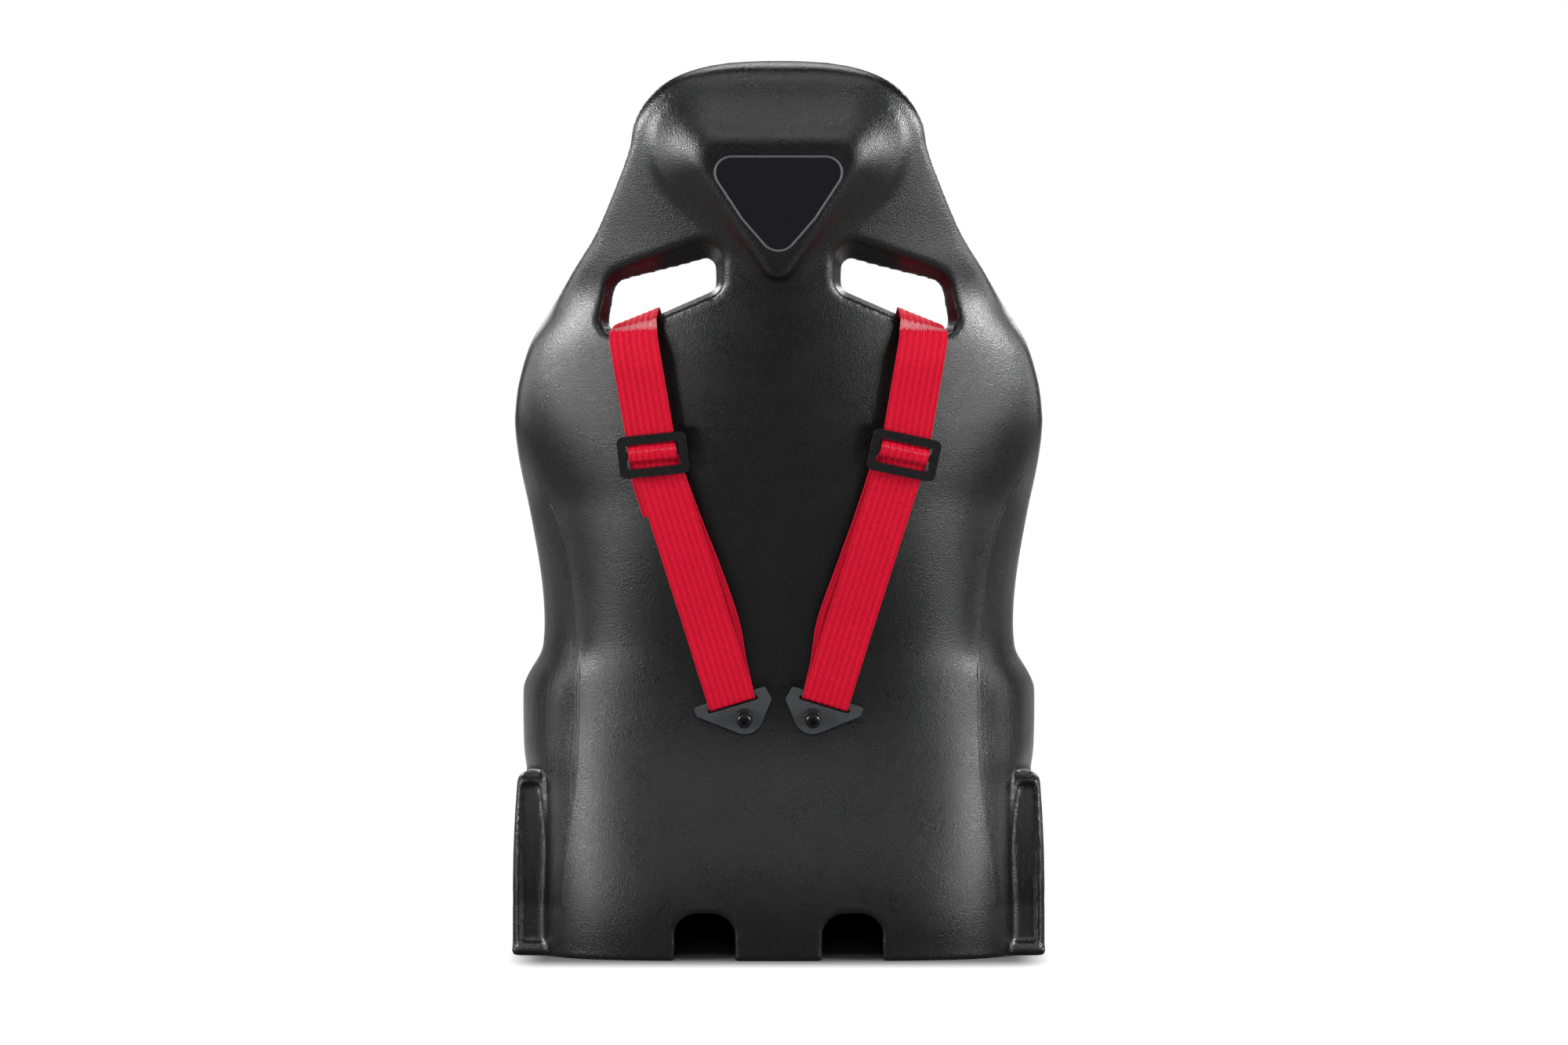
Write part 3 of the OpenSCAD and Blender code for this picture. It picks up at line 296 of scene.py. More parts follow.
def soften(values, sigma):
    """A row of values smoothed along itself, its ends held."""
    reach = int(3 * sigma) + 1
    kernel = np.exp(-0.5 * (np.arange(-reach, reach + 1) / sigma) ** 2)
    padded = np.concatenate([
        2 * values[0] - values[reach:0:-1], values, 2 * values[-1] - values[-2:-reach - 2:-1]])
    return np.convolve(padded, kernel / kernel.sum(), "valid")


def outline_distance(points, px, pz):
    """Distance of the points (px, pz) from an open line of points."""
    a, b = points[:-1], points[1:]
    best = np.full(px.shape, 1e9)
    for (ax, az), (bx, bz) in zip(a, b):
        dx, dz = bx - ax, bz - az
        t = clamp01(((px - ax) * dx + (pz - az) * dz) / (dx * dx + dz * dz))
        np.minimum(best, (px - ax - t * dx) ** 2 + (pz - az - t * dz) ** 2, out=best)
    return np.sqrt(best)


def circles_hull(circles, steps=16):
    """Outline of the hull of circles (x, z, radius), anticlockwise and closed."""
    pts = np.array([
        (x + r * math.cos(a), z + r * math.sin(a))
        for x, z, r in circles for a in np.linspace(0, 2 * math.pi, 4 * steps, endpoint=False)])
    pts = pts[np.lexsort((pts[:, 1], pts[:, 0]))]
    hull = []
    for row in (pts, pts[::-1]):
        start = len(hull)
        for p in row:
            while len(hull) >= start + 2:
                (ax, az), (bx, bz) = hull[-2], hull[-1]
                if (bx - ax) * (p[1] - az) - (bz - az) * (p[0] - ax) > 0:
                    break
                hull.pop()
            hull.append(tuple(p))
        hull.pop()
    return np.array(hull + hull[:1])


def hull_field(circles, px, pz):
    """Signed distance from the hull of circles."""
    outline = circles_hull(circles)
    inside = np.ones(px.shape, bool)
    for (ax, az), (bx, bz) in zip(outline[:-1], outline[1:]):
        inside &= (bx - ax) * (pz - az) - (bz - az) * (px - ax) >= 0
    d = outline_distance(outline, px, pz)
    return np.where(inside, -d, d)


# the grid of the shell's field, over the sitter's right half; the other half is its mirror
STEP = 3.0
GX = np.arange(0, 294, STEP)
GY = np.arange(-412, 310, STEP)
GZ = np.arange(-7.5, 942, STEP)

# a harness slot, as the hull of circles (x, z, radius)
SLOT = [(75, SLOT_TOP, 10), (75, SLOT_TOP - 14, 10), (166, SLOT_TOP - 54, 6), (153, SLOT_TOP - 27, 12)]
SLOT_FLARE = 13.0
ARCH_X, ARCH_W, ARCH_H = 78.0, 64.0, 50.0
BADGE_H = HEAD_H - 60
LAP_Y = -20.0
LAP_H = float(pan_h(LAP_Y)) + 82
LAP_FACE_X = float(inner_w(LAP_H)) - 26
BASE_BOLTS = (150.0, 170.0)
SIDE_BOLT_Y, SIDE_BOLT_H = 145.0, 60.0
INSERT_R, INSERT_SINK = 14, 2.4

# outlines of the boss at its foot and at its top, and of the badge, as circles (u, v from the badge's top
# edge, radius)
BOSS_FOOT = [(-66, -2, 44), (66, -2, 44), (0, -103, 30)]
BOSS_TOP = [(-60, -6, 20), (60, -6, 20), (0, -118, 12)]
SHIELD = [(-47.5, -20, 18), (47.5, -20, 18), (-14, -50, 30), (14, -50, 30), (0, -82, 20)]


def in_badge_frame(circles, grow=0):
    """Circles measured from the badge's top edge, moved to its middle and grown."""
    return [(u, v + BADGE_RISE, r + grow) for u, v, r in circles]


def level(values):
    """Values by height, shaped to fit the grid."""
    return values[None, None, :].astype(np.float32)


def turn_surface(turn, sigma):
    """Grid of y over GX and GZ of a face, and the cosine of its slope."""
    surface = np.empty((len(GX), len(GZ)))
    for k, z in enumerate(GZ):
        xs, ys = turn(z, T)
        surface[:, k] = np.interp(GX, xs, ys)
        beyond = GX > xs[-1]
        surface[beyond, k] = ys[-1] + (GX[beyond] - xs[-1]) * (ys[-1] - ys[-9]) / (xs[-1] - xs[-9])
    surface = np.array([soften(row, sigma) for row in surface])
    gx, gz = np.gradient(surface, STEP)
    return surface, 1 / np.sqrt(1 + gx ** 2 + gz ** 2)


def shell_field():
    x = GX[:, None, None].astype(np.float32)
    y = GY[None, :, None].astype(np.float32)
    z = GZ[None, None, :].astype(np.float32)

    def sheet(surface, normal):
        """Field of a face given as y over x and z: positive behind it."""
        return (surface[:, None, :].astype(np.float32) - y) * normal[:, None, :].astype(np.float32)

    # silhouette from behind, as a distance in the x-z plane
    rise = np.concatenate([np.arange(-40, HEAD_H, 4.0), HEAD_H + 81 * np.sin(np.linspace(0, np.pi / 2, 90))])
    line = np.stack([half_w(np.maximum(rise, 0)), rise], 1)
    px, pz = np.meshgrid(GX, GZ, indexing="ij")
    side = outline_distance(line, px, pz)
    side = np.where((px < half_w(np.clip(pz, 0, SHELL_H - 1e-3))) & (pz < SHELL_H), -side, side)
    side = side[:, None, :].astype(np.float32)

    rear, rear_n = turn_surface(outer_turn, 3)
    edge = soften(edge_y(GZ), 2)
    front = (y - level(edge)) * level(1 / np.hypot(1, np.gradient(edge, STEP)))
    corner = level(np.where(GZ < HIP_H, mix(60, 13, smooth((GZ - 130) / 130)), 13))
    back_corner = level(mix(5, 14, smooth((GZ - 800) / 100)))
    body = round_max(round_max(side, front, corner), sheet(rear, rear_n), back_corner)

    # shield-shaped boss on the leaning back
    lean = math.radians(RECLINE)
    badge_y = back_y(0, BADGE_H)
    dy, dz = y - badge_y, z - BADGE_H
    v = dz * math.cos(lean) - dy * math.sin(lean)
    n = -dy * math.cos(lean) - dz * math.sin(lean)
    reach, pitch = 200, 3.0
    gu, gv = np.meshgrid(GX, np.arange(-reach, reach + 1, pitch), indexing="ij")
    row = np.clip((v + reach) / pitch, 0, gu.shape[1] - 1.001)
    low = row.astype(np.int32)
    part = (row - low).astype(np.float32)
    index = np.broadcast_to(np.arange(len(GX))[:, None, None], (len(GX),) + low.shape[1:])

    def in_badge_plane(circles):
        flat = hull_field(in_badge_frame(circles), gu, gv)
        return (flat[index, low] * (1 - part) + flat[index, low + 1] * part).astype(np.float32)

    foot_d, top_d = in_badge_plane(BOSS_FOOT), in_badge_plane(BOSS_TOP)
    flank = mix(foot_d, top_d, np.clip(n / BOSS_T, -.5, 1)) / np.hypot(1, (top_d - foot_d) / BOSS_T)
    boss = round_max(n - BOSS_T, flank, 3.5)
    body = round_min(body, np.maximum(boss, -n - 30), 11)

    # the sitter's space
    inner, inner_n = turn_surface(inner_turn, 3)
    wall = soften(inner_w(GZ), 2)
    across = (x - level(wall)) * level(1 / np.hypot(1, np.gradient(wall, STEP)))
    cavity = round_max(sheet(inner, inner_n), across, 26)
    pan = pan_h(GY)
    pan_n = 1 / np.hypot(1, np.gradient(pan, STEP))
    cavity = round_max(cavity, ((pan[:, None] - GZ[None, :]) * pan_n[:, None])[None].astype(np.float32), 34)
    body = round_max(body, -cavity, level(mix(9, 7, smooth((GZ - 700) / 150))))

    # the hollow base, with the two ribs that take the bolts
    hollow_x = POD_IN + 20.5
    plan = round_max(x - hollow_x, LUMBAR_Y + 2 + SKIRT_T - y, 75)
    plan = round_max(plan, y - (FRONT_Y - 2 - SKIRT_T), 20)
    roof = ((GZ[None, :] - (pan - PAN_T)[:, None]) * pan_n[:, None])[None].astype(np.float32)
    hollow = round_max(plan, roof, 14)
    hollow = round_max(hollow, 28 - abs(x - BASE_BOLTS[0]), 5)
    body = round_max(body, -hollow, 3)

    # side pods
    pod_out = POD_W / 2 + 2.4 * smooth((-120 - y) / 40)
    pod = round_max(x - pod_out + 0.03 * ramp(z - 100, 40), (POD_IN - x + 0.155 * z) * 0.988, 9)
    tail = round_max(-172 - y, (-172 - y + (z - 120) * 0.3) * 0.958, 20)
    top = round_max(z - POD_H + 0.045 * (y + 139), (z - 187 + 0.3 * (y - 60)) * 0.958, 30)
    nose = (y - 250 + 0.2 * z) * 0.98
    pod = round_max(pod, round_max(round_max(tail, nose, 12), top, 12), 11)
    panel = round_max(POD_IN + 12 + 0.155 * z - x, x - pod_out + 9, 3)
    panel = round_max(round_max(panel, 15 - z, 3), z - 182, 5)
    pod = round_max(pod, -round_max(panel, -tail - 5, 2), 3)
    body = round_min(body, pod, 4)
    # a narrow lip round the foot of the pods
    foot = np.maximum(round_max(x - pod_out - .3, POD_IN + 6 - x, 9), round_max(-173.2 - y, y - 249, 9))
    body = np.minimum(body, np.maximum(foot, abs(z - 5.5) - 3.5))
    body = round_max(body, -z, 2.5)

    # harness slots, their mouths narrowing inwards
    slot_flat = hull_field(SLOT, px, pz)
    out_x, out_z = np.gradient(slot_flat, STEP)
    wide = (SLOT_FLARE + 6 * (.55 * out_x + .8 * out_z))[:, None, :].astype(np.float32)
    depth = y - rear[:, None, :].astype(np.float32)
    grow = wide * np.clip(1 - depth / 32, 0, 1.5)
    body = round_max(body, -(slot_flat[:, None, :].astype(np.float32) - grow) * 0.93, 5)

    # arches in the rear skirt
    arch = round_max(abs(x - ARCH_X) - ARCH_W / 2, z - ARCH_H, 24)
    body = round_max(body, -np.maximum(arch, y + 145), 2.5)

    # lap anchor hollows and the seats of the threaded inserts
    ring = np.hypot(y - LAP_Y, z - LAP_H)
    cone = round_max(ring - 48 - (LAP_FACE_X - x) * 8 / 60, x - LAP_FACE_X, 6)
    body = round_max(body, -cone, 5)

    def seat_of_insert(r, depth):
        """r: distance from the insert's axis, depth: distance below its face."""
        return np.maximum(r - INSERT_R, depth - INSERT_SINK)

    body = np.maximum(body, -seat_of_insert(ring, x - LAP_FACE_X))
    for by in (-BASE_BOLTS[1], BASE_BOLTS[1]):
        body = np.maximum(body, -seat_of_insert(np.hypot(x - BASE_BOLTS[0], y - by), z))
    for by in (-SIDE_BOLT_Y, SIDE_BOLT_Y):
        body = np.maximum(body, -seat_of_insert(np.hypot(y - by, z - SIDE_BOLT_H), POD_W / 2 - 1 - x))
    return body


def surface_net(field, origin, step):
    """Quads of the zero level of a field on a regular grid."""
    inside = field < 0
    count = np.zeros(tuple(n - 1 for n in field.shape), np.uint8)
    corners = [(i, j, k) for i in (0, 1) for j in (0, 1) for k in (0, 1)]
    for i, j, k in corners:
        count += inside[i:i + count.shape[0], j:j + count.shape[1], k:k + count.shape[2]]
    cells = np.argwhere((count > 0) & (count < 8))
    number = np.full(count.shape, -1, np.int32)
    number[tuple(cells.T)] = np.arange(len(cells))
    value = {c: field[tuple((cells + c).T)] for c in corners}
    total = np.zeros((len(cells), 3))
    hits = np.zeros(len(cells))
    for a in corners:
        for axis in range(3):
            if a[axis]:
                continue
            b = tuple(1 if i == axis else a[i] for i in range(3))
            crosses = (value[a] < 0) != (value[b] < 0)
            t = value[a][crosses] / (value[a][crosses] - value[b][crosses])
            point = np.tile(np.array(a, float), (len(t), 1))
            point[:, axis] += t
            total[crosses] += point
            hits[crosses] += 1
    points = origin + step * (cells + total / hits[:, None])
    quads = []
    for axis in range(3):
        u, v = (axis + 1) % 3, (axis + 2) % 3
        near = [slice(None)] * 3
        far = [slice(None)] * 3
        near[axis], far[axis] = slice(0, -1), slice(1, None)
        first, second = inside[tuple(near)], inside[tuple(far)]
        for leaves in (True, False):
            edges = np.argwhere((first & ~second) if leaves else (~first & second))
            du, dv = np.eye(3, dtype=int)[u], np.eye(3, dtype=int)[v]
            ring = [edges - du - dv, edges - dv, edges, edges - du]
            quad = np.stack([number[tuple(c.T)] for c in ring], 1)
            quads.append(quad if leaves else quad[:, ::-1])
    return points, np.concatenate(quads)


def relax(points, quads, rounds, weights=(0.5, -0.53)):
    """Taubin smoothing along the quads' edges: it evens the surface and keeps its size."""
    a = np.concatenate([quads[:, i] for i in range(4)])
    b = np.concatenate([quads[:, (i + 1) % 4] for i in range(4)])
    degree = np.bincount(a, minlength=len(points)) + np.bincount(b, minlength=len(points))
    for _ in range(rounds):
        for w in weights:
            mean = np.stack([
                np.bincount(a, points[b, i], len(points)) + np.bincount(b, points[a, i], len(points))
                for i in range(3)], 1) / degree[:, None]
            points = points + w * (mean - points)
    return points


# ---------------------------------------------------------------- meshes

def mesh_piece(name, points, faces, attributes=None, triangles=None):
    """A smooth-shaded object from points in millimetres and faces of one size, or a list of faces."""
    mesh = bpy.data.meshes.new(name)
    points = np.asarray(points, float) * MM
    if isinstance(faces, np.ndarray):
        extra = np.zeros((0, 3), int) if triangles is None else triangles
        loops = np.concatenate([faces.ravel(), extra.ravel()])
        starts = np.concatenate([np.arange(len(faces)) * faces.shape[1],
                                 faces.size + np.arange(len(extra)) * 3])
        mesh.vertices.add(len(points))
        mesh.vertices.foreach_set("co", points.astype(np.float32).ravel())
        mesh.loops.add(len(loops))
        mesh.loops.foreach_set("vertex_index", loops.astype(np.int32))
        mesh.polygons.add(len(starts))
        mesh.polygons.foreach_set("loop_start", starts.astype(np.int32))
        mesh.update(calc_edges=True)
    else:
        mesh.from_pydata([tuple(p) for p in points], [], faces)
    mesh.polygons.foreach_set("use_smooth", np.ones(len(mesh.polygons), bool))
    for key, values in (attributes or {}).items():
        values = np.asarray(values, np.float32)
        kind = "FLOAT" if values.ndim == 1 else "FLOAT_VECTOR"
        layer = mesh.attributes.new(key, kind, "POINT")
        layer.data.foreach_set("value" if values.ndim == 1 else "vector", values.ravel())
    mesh.validate()
    piece = bpy.data.objects.new(name, mesh)
    bpy.context.scene.collection.objects.link(piece)
    return piece


# height and |x| of the line the mould leaves down both sides of the back, from its foot up
PARTING_LINE = [(51, 230), (87, 228), (130, 222), (193, 214), (323, 212), (411, 222), (450, 230), (477, 239),
                (518, 264)]


def build_shell():
    half = shell_field()
    field = np.concatenate([half[:0:-1], half])
    origin = np.array([-GX[-1], GY[0], GZ[0]])
    points, quads = surface_net(field, origin, STEP)
    points = relax(points, quads, 3)
    z = points[:, 2]
    points[:, 2] = np.maximum(z, 0.0)
    # the streaked panels down both sides, outside the parting line; the material paints them darker, a
    # painted shade on the sides that face away from the lamps
    seam_z, seam_x = np.array(PARTING_LINE, float).T
    panel = smooth((np.abs(points[:, 0]) - np.interp(z, seam_z, seam_x)) / 4 + .5)
    panel *= smooth((z - seam_z[0]) / 12) * smooth((seam_z[-1] - z) / 30)
    return mesh_piece("moulded_shell", points, quads, {"panel": panel})


def make_parting_line(side, word):
    heights = np.arange(PARTING_LINE[0][0], PARTING_LINE[-1][0], 6.0)
    across = soften(along(PARTING_LINE, heights), 3)
    line = [(side * x, back_y(x, z) + .25, z) for x, z in zip(across, heights)]
    fade = np.sin(np.linspace(0, np.pi, len(line))) ** .3
    piece = tube("parting_line_" + word, line, .15 + .5 * fade, 8)
    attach(piece, "seat")
    return piece


# ---------------------------------------------------------------- frames of the fittings

def inner_x(y, z):
    """|x| where the inner face reaches y at height z."""
    xs, ys = inner_turn(float(z), T)
    return float(np.interp(y, ys, xs))


X_WAY = np.array([1.0, 0, 0])
GAP = 0.3                    # clearance between pieces
PAD_GAP = 3.2
SLOT_EDGE_X = 146.0          # where the shoulder webbing crosses the slot's lower edge
EDGE_SHIFT = 6.5             # the webbing slips this far outwards in the slot's flare
SLOT_SLOPE = math.atan2(SLOT[1][1] - SLOT[2][1] - SLOT[2][2] * 0.6, SLOT[2][0] - SLOT[1][0])
SLOT_EDGE_Z = (SLOT[2][1] + (SLOT[2][0] - SLOT_EDGE_X) * math.tan(SLOT_SLOPE)
               - SLOT[2][2] / math.cos(SLOT_SLOPE))
SLOT_Y = -310.14             # about where the part's source has the rear face below the slot
EDGE_Y = back_y(SLOT_EDGE_X - WEB_W / 2, SLOT_EDGE_Z)
ANCHOR_X, ANCHOR_H = 36.0, 262.0
ANCHOR_Y = back_y(ANCHOR_X, ANCHOR_H)
REAR_LIFT = 7.0
PLATE_MID = 12 + GAP + PLATE_T / 2    # the anchor plate's middle, off the back
STRAP_LEAN = math.atan2(ANCHOR_Y - PLATE_MID - SLOT_Y + REAR_LIFT, SLOT_EDGE_Z - 20 - ANCHOR_H)
PLATE_TURN = math.radians(17.5)
SLOT_IN_PLATE = (8.0, 15.5)  # the webbing slot, from the plate's bolt, and the same once the plate is turned
TURNED_SLOT = (SLOT_IN_PLATE[0] * math.cos(PLATE_TURN) + SLOT_IN_PLATE[1] * math.sin(PLATE_TURN),
               SLOT_IN_PLATE[1] * math.cos(PLATE_TURN) - SLOT_IN_PLATE[0] * math.sin(PLATE_TURN))
# the webbing round a plate's bar: half the fold's height, and its points (along, across)
FOLD_H = PLATE_T / 2 + WEB_T / 2 + 0.5
FOLD = [(FOLD_H + 0.1 - FOLD_H * math.cos(math.radians(a)), FOLD_H * math.sin(math.radians(a)))
        for a in range(90, -91, -15)]
FOLD_TAIL = 34.0
ADJUSTER_U = 130 - ANCHOR_X
SEAT_PAD_T, SEAT_PAD_W = 52.0, 348.0
BACK_PAD_T, BACK_PAD_W = 36.0, 300.0
HEAD_PAD_T, HEAD_PAD_W = 30.0, 200.0
BUCKLE_R = 27.0
BUCKLE_TILT = math.radians(15)
BUCKLE_Y = -30.0
BUCKLE_Z = float(pan_h(0)) + PAD_GAP + SEAT_PAD_T + BUCKLE_R * math.sin(BUCKLE_TILT) + 11
TONGUE_SLOT = 33 + BUCKLE_R
LAP_MID = 2.6 + GAP + PLATE_T / 2
LAP_PLATE_UP = 17.0


def from_anchor(side, u, v, w, turn=0.0):
    """Point of an anchor's leaning plane: u outwards, v up the back, w out of it."""
    a = -side * turn
    x = side * u * math.cos(a) - v * math.sin(a)
    y = side * u * math.sin(a) + v * math.cos(a)
    return np.array([side * ANCHOR_X + x,
                     ANCHOR_Y - y * math.sin(STRAP_LEAN) - w * math.cos(STRAP_LEAN),
                     ANCHOR_H + y * math.cos(STRAP_LEAN) - w * math.sin(STRAP_LEAN)])


def up_strap(z):
    """v of the anchor's leaning plane at height z."""
    return (z - ANCHOR_H + PLATE_MID * math.sin(STRAP_LEAN)) / math.cos(STRAP_LEAN)


ADJUSTER_V = up_strap(533)


def from_buckle(p):
    """Point of the tilted buckle's frame."""
    c, s = math.cos(BUCKLE_TILT), math.sin(BUCKLE_TILT)
    return np.array([p[0], BUCKLE_Y + p[1] * c + p[2] * s, BUCKLE_Z - p[1] * s + p[2] * c])


def shoulder_way(side):
    """The way a shoulder tongue leaves the buckle."""
    a = math.radians(34)
    return np.array([side * math.sin(a), -math.cos(a), 0])


def lap_way(side):
    a = math.radians(14)
    return np.array([side * math.cos(a), math.sin(a), 0])


def slot_way(side, way):
    """Direction of a tongue's webbing slot, square to its way out."""
    x, y = -side * way[1], side * way[0]
    return np.array([x, y * math.cos(BUCKLE_TILT), -y * math.sin(BUCKLE_TILT)])


# ---------------------------------------------------------------- pads

def crown(s):
    """Thickness of a stuffed pad at a share s of its half width."""
    return 0.3 + 0.7 * np.maximum(0, 1 - np.abs(s) ** 3.2) ** 0.55


def share(p, low, high):
    """-1 at low, 1 at high."""
    return (2 * p - low - high) / (high - low)


SEAT_REAR, SEAT_FRONT = -148.0, FRONT_Y - 34
SEAT_CHANNELS = [mix(SEAT_REAR, SEAT_FRONT, q) for q in (.26, .5, .74)]
BACK_LOW, BACK_HIGH = 178.0, SLOT_TOP - 84
BACK_CHANNELS = [mix(BACK_LOW, BACK_HIGH, q) for q in (.33, .545, .76)]
HEAD_LOW, HEAD_HIGH = HEAD_H - 95, HEAD_H + 31


def rounded_end(e, power, fall):
    return (1 - np.minimum(np.abs(e), 0.9995) ** power) ** fall


def seat_half(y):
    room = inner_x(y, float(pan_h(y)) + 8) - 9
    return min(SEAT_PAD_W / 2, room) * rounded_end(share(y, SEAT_REAR, SEAT_FRONT), 9, .35)


def back_half(z):
    room = inner_x(float(front_of_back(z)) + 26, z)
    return (min(BACK_PAD_W / 2, room) * rounded_end(share(z, BACK_LOW, BACK_HIGH), 8, .4)
            * mix(1, .84, float(smooth((z - 420) / 220))))


def head_half(z):
    return (HEAD_PAD_W * mix(.5, .42, float(smooth((z - HEAD_LOW) / (HEAD_HIGH - HEAD_LOW))))
            * rounded_end(share(z, HEAD_LOW, HEAD_HIGH), 5, .4))


def back_full(s, z):
    return BACK_PAD_T * crown(s) * crown(share(z, BACK_LOW, BACK_HIGH))


def on_seat(x, y, d):
    return np.array([x, y, float(pan_h(y)) + PAD_GAP + d])


def on_front(x, z, d):
    return np.array([x, inner_y(x, z) + PAD_GAP + d, z])


def rows(low, high, channels, step=5.0):
    """Positions along a pad, close together at its ends and at its sewn channels."""
    at = [low + d for d in (0, .15, .8, 2, 4, 7)] + [high - d for d in (7, 4, 2, .8, .15, 0)]
    at += list(np.arange(low + 10, high - 9, step))
    for c in channels:
        at = [p for p in at if abs(p - c) > 7.5] + [c + d for d in (-7, -4.5, -2.5, -1, 0, 1, 2.5, 4.5, 7)]
    return sorted(at)


def pucker(along_channel, seed):
    """Small gathers along a line of stitches."""
    p = along_channel
    return (np.sin(p / 3.1 + seed) + .7 * np.sin(p / 5.3 + 2.1 * seed)
            + .5 * np.sin(p / 2.2 + seed * seed)) / 2.2


def pad_piece(name, low, high, channels, half, thick, place, seed):
    """A stuffed pad: crowned, drawn in at its rim, with sewn channels and gathers beside them."""
    shares = np.sin(np.linspace(-np.pi / 2, np.pi / 2, 61))
    positions = np.array(rows(low, high, channels))
    w = np.array([half(p) for p in positions])
    p, q = positions[:, None], shares[None, :]
    x = w[:, None] * q
    t = thick * crown(q) * crown(share(p, low, high))
    for i, c in enumerate(channels):
        d = np.abs(p - c)
        t -= (6.5 * np.exp(-(d / 3.2) ** 2) + 2.2 * np.exp(-(d / 13) ** 2)) * (1 - q ** 6)
        t += 0.55 * pucker(x, seed + i) * np.exp(-d / 9) * (1 - q ** 8)
    t += 0.5 * pucker(p, seed + 7) * clamp01(1 - (1 - np.abs(q)) / 0.12)
    t += 0.5 * np.sin(x / 31 + seed) * np.sin(p / 27 + 2 * seed) * (1 - q ** 4)
    t = np.maximum(t, 1.5)
    top = np.array([[place(x[i, j], positions[i], t[i, j]) for j in range(len(shares))]
                    for i in range(len(positions))])
    foot = np.array([[place(x[i, j], positions[i], 0) for j in range(len(shares))]
                     for i in range(len(positions))])
    # the rim's two sides meet half way up
    top[:, [0, -1]] = foot[:, [0, -1]] = (top[:, [0, -1]] * .4 + foot[:, [0, -1]] * .6)
    grid_x, grid_p = np.broadcast_arrays(x, p)
    coords = np.stack([grid_x, grid_p, t], -1)
    seams = [top[np.abs(positions - c - d).argmin(), 5:-5] for c in channels for d in (-4.5, 4.5)]
    return closed_band(name, top, foot, {"weave": (coords, coords)}), seams


def outward(piece):
    """Turns the faces of a closed mesh outwards."""
    bm = bmesh.new()
    bm.from_mesh(piece.data)
    bmesh.ops.recalc_face_normals(bm, faces=bm.faces[:])
    bm.to_mesh(piece.data)
    bm.free()


def closed_band(name, top, bottom, attributes=None):
    """Solid between two surfaces of the same n by m points, which share their side edges."""
    n, m = top.shape[:2]
    ring = np.concatenate([top, bottom[:, -2:0:-1]], 1)
    size = ring.shape[1]
    i, j = np.meshgrid(np.arange(n - 1), np.arange(size), indexing="ij")
    a, b = i * size + j, i * size + (j + 1) % size
    quads = np.stack([a, b, b + size, a + size], -1).reshape(-1, 4)
    k = np.arange(m - 1)
    under, under_next = (size - k) % size, np.where(k < m - 2, size - k - 1, m - 1)
    cap = np.stack([k, k + 1, under_next, under], 1)[1:-1]
    corner = np.array([[0, 1, size - 1], [m - 2, m - 1, m]])
    last = (n - 1) * size
    points = ring.reshape(-1, 3)
    p = points[quads]
    volume = np.einsum("ij,ij->", p[:, 0], np.cross(p[:, 1], p[:, 2]) + np.cross(p[:, 2], p[:, 3]))
    faces = np.concatenate([quads, cap[:, ::-1], cap + last])
    tips = np.concatenate([corner[:, ::-1], corner + last])
    if volume < 0:
        faces, tips = faces[:, ::-1], tips[:, ::-1]
    made = {}
    for key, (above, below) in (attributes or {}).items():
        made[key] = np.concatenate([above, below[:, -2:0:-1]], 1).reshape(-1, 3)
    return mesh_piece(name, points, faces, made, tips)


def tube(name, path, radius, sides=10, closed=False):
    """A round piping or thread along a path; the radius may be one per point."""
    p = np.array(path, float)
    n = len(p)
    if closed:
        t = np.roll(p, -1, 0) - np.roll(p, 1, 0)
    else:
        t = np.gradient(p, axis=0)
    t /= np.linalg.norm(t, axis=1)[:, None]
    r = np.broadcast_to(radius, n)
    up_way = np.array([0, 0, 1.0]) if abs(t[0][2]) < .9 else np.array([1.0, 0, 0])
    a = np.cross(t[0], up_way)
    frames = []
    for k in range(n):
        a = a - t[k] * (a @ t[k])
        a /= np.linalg.norm(a)
        frames.append((a, np.cross(t[k], a)))
    angles = np.linspace(0, 2 * math.pi, sides, endpoint=False)
    points = [p[k] + r[k] * (math.cos(q) * frames[k][0] + math.sin(q) * frames[k][1])
              for k in range(n) for q in angles]
    faces = [[k % n * sides + j, k % n * sides + (j + 1) % sides,
              (k + 1) % n * sides + (j + 1) % sides, (k + 1) % n * sides + j]
             for k in range(n if closed else n - 1) for j in range(sides)]
    if not closed:
        faces += [list(range(sides))[::-1], [(n - 1) * sides + j for j in range(sides)]]
    piece = mesh_piece(name, points, faces)
    outward(piece)
    return piece


def rim_line(low, high, half, place, lift):
    """Closed line round a pad, just inside its rim."""
    positions = low + (high - low) * (1 - np.cos(np.linspace(0, np.pi, 90))) / 2
    right_side = [place(half(p) + .4, p, lift) for p in positions]
    left_side = [place(-half(p) - .4, p, lift) for p in positions[::-1]]
    line = np.array(right_side + left_side)
    keep = [0]
    for k in range(1, len(line)):
        if np.linalg.norm(line[k] - line[keep[-1]]) > 2.5:
            keep.append(k)
    return line[keep]


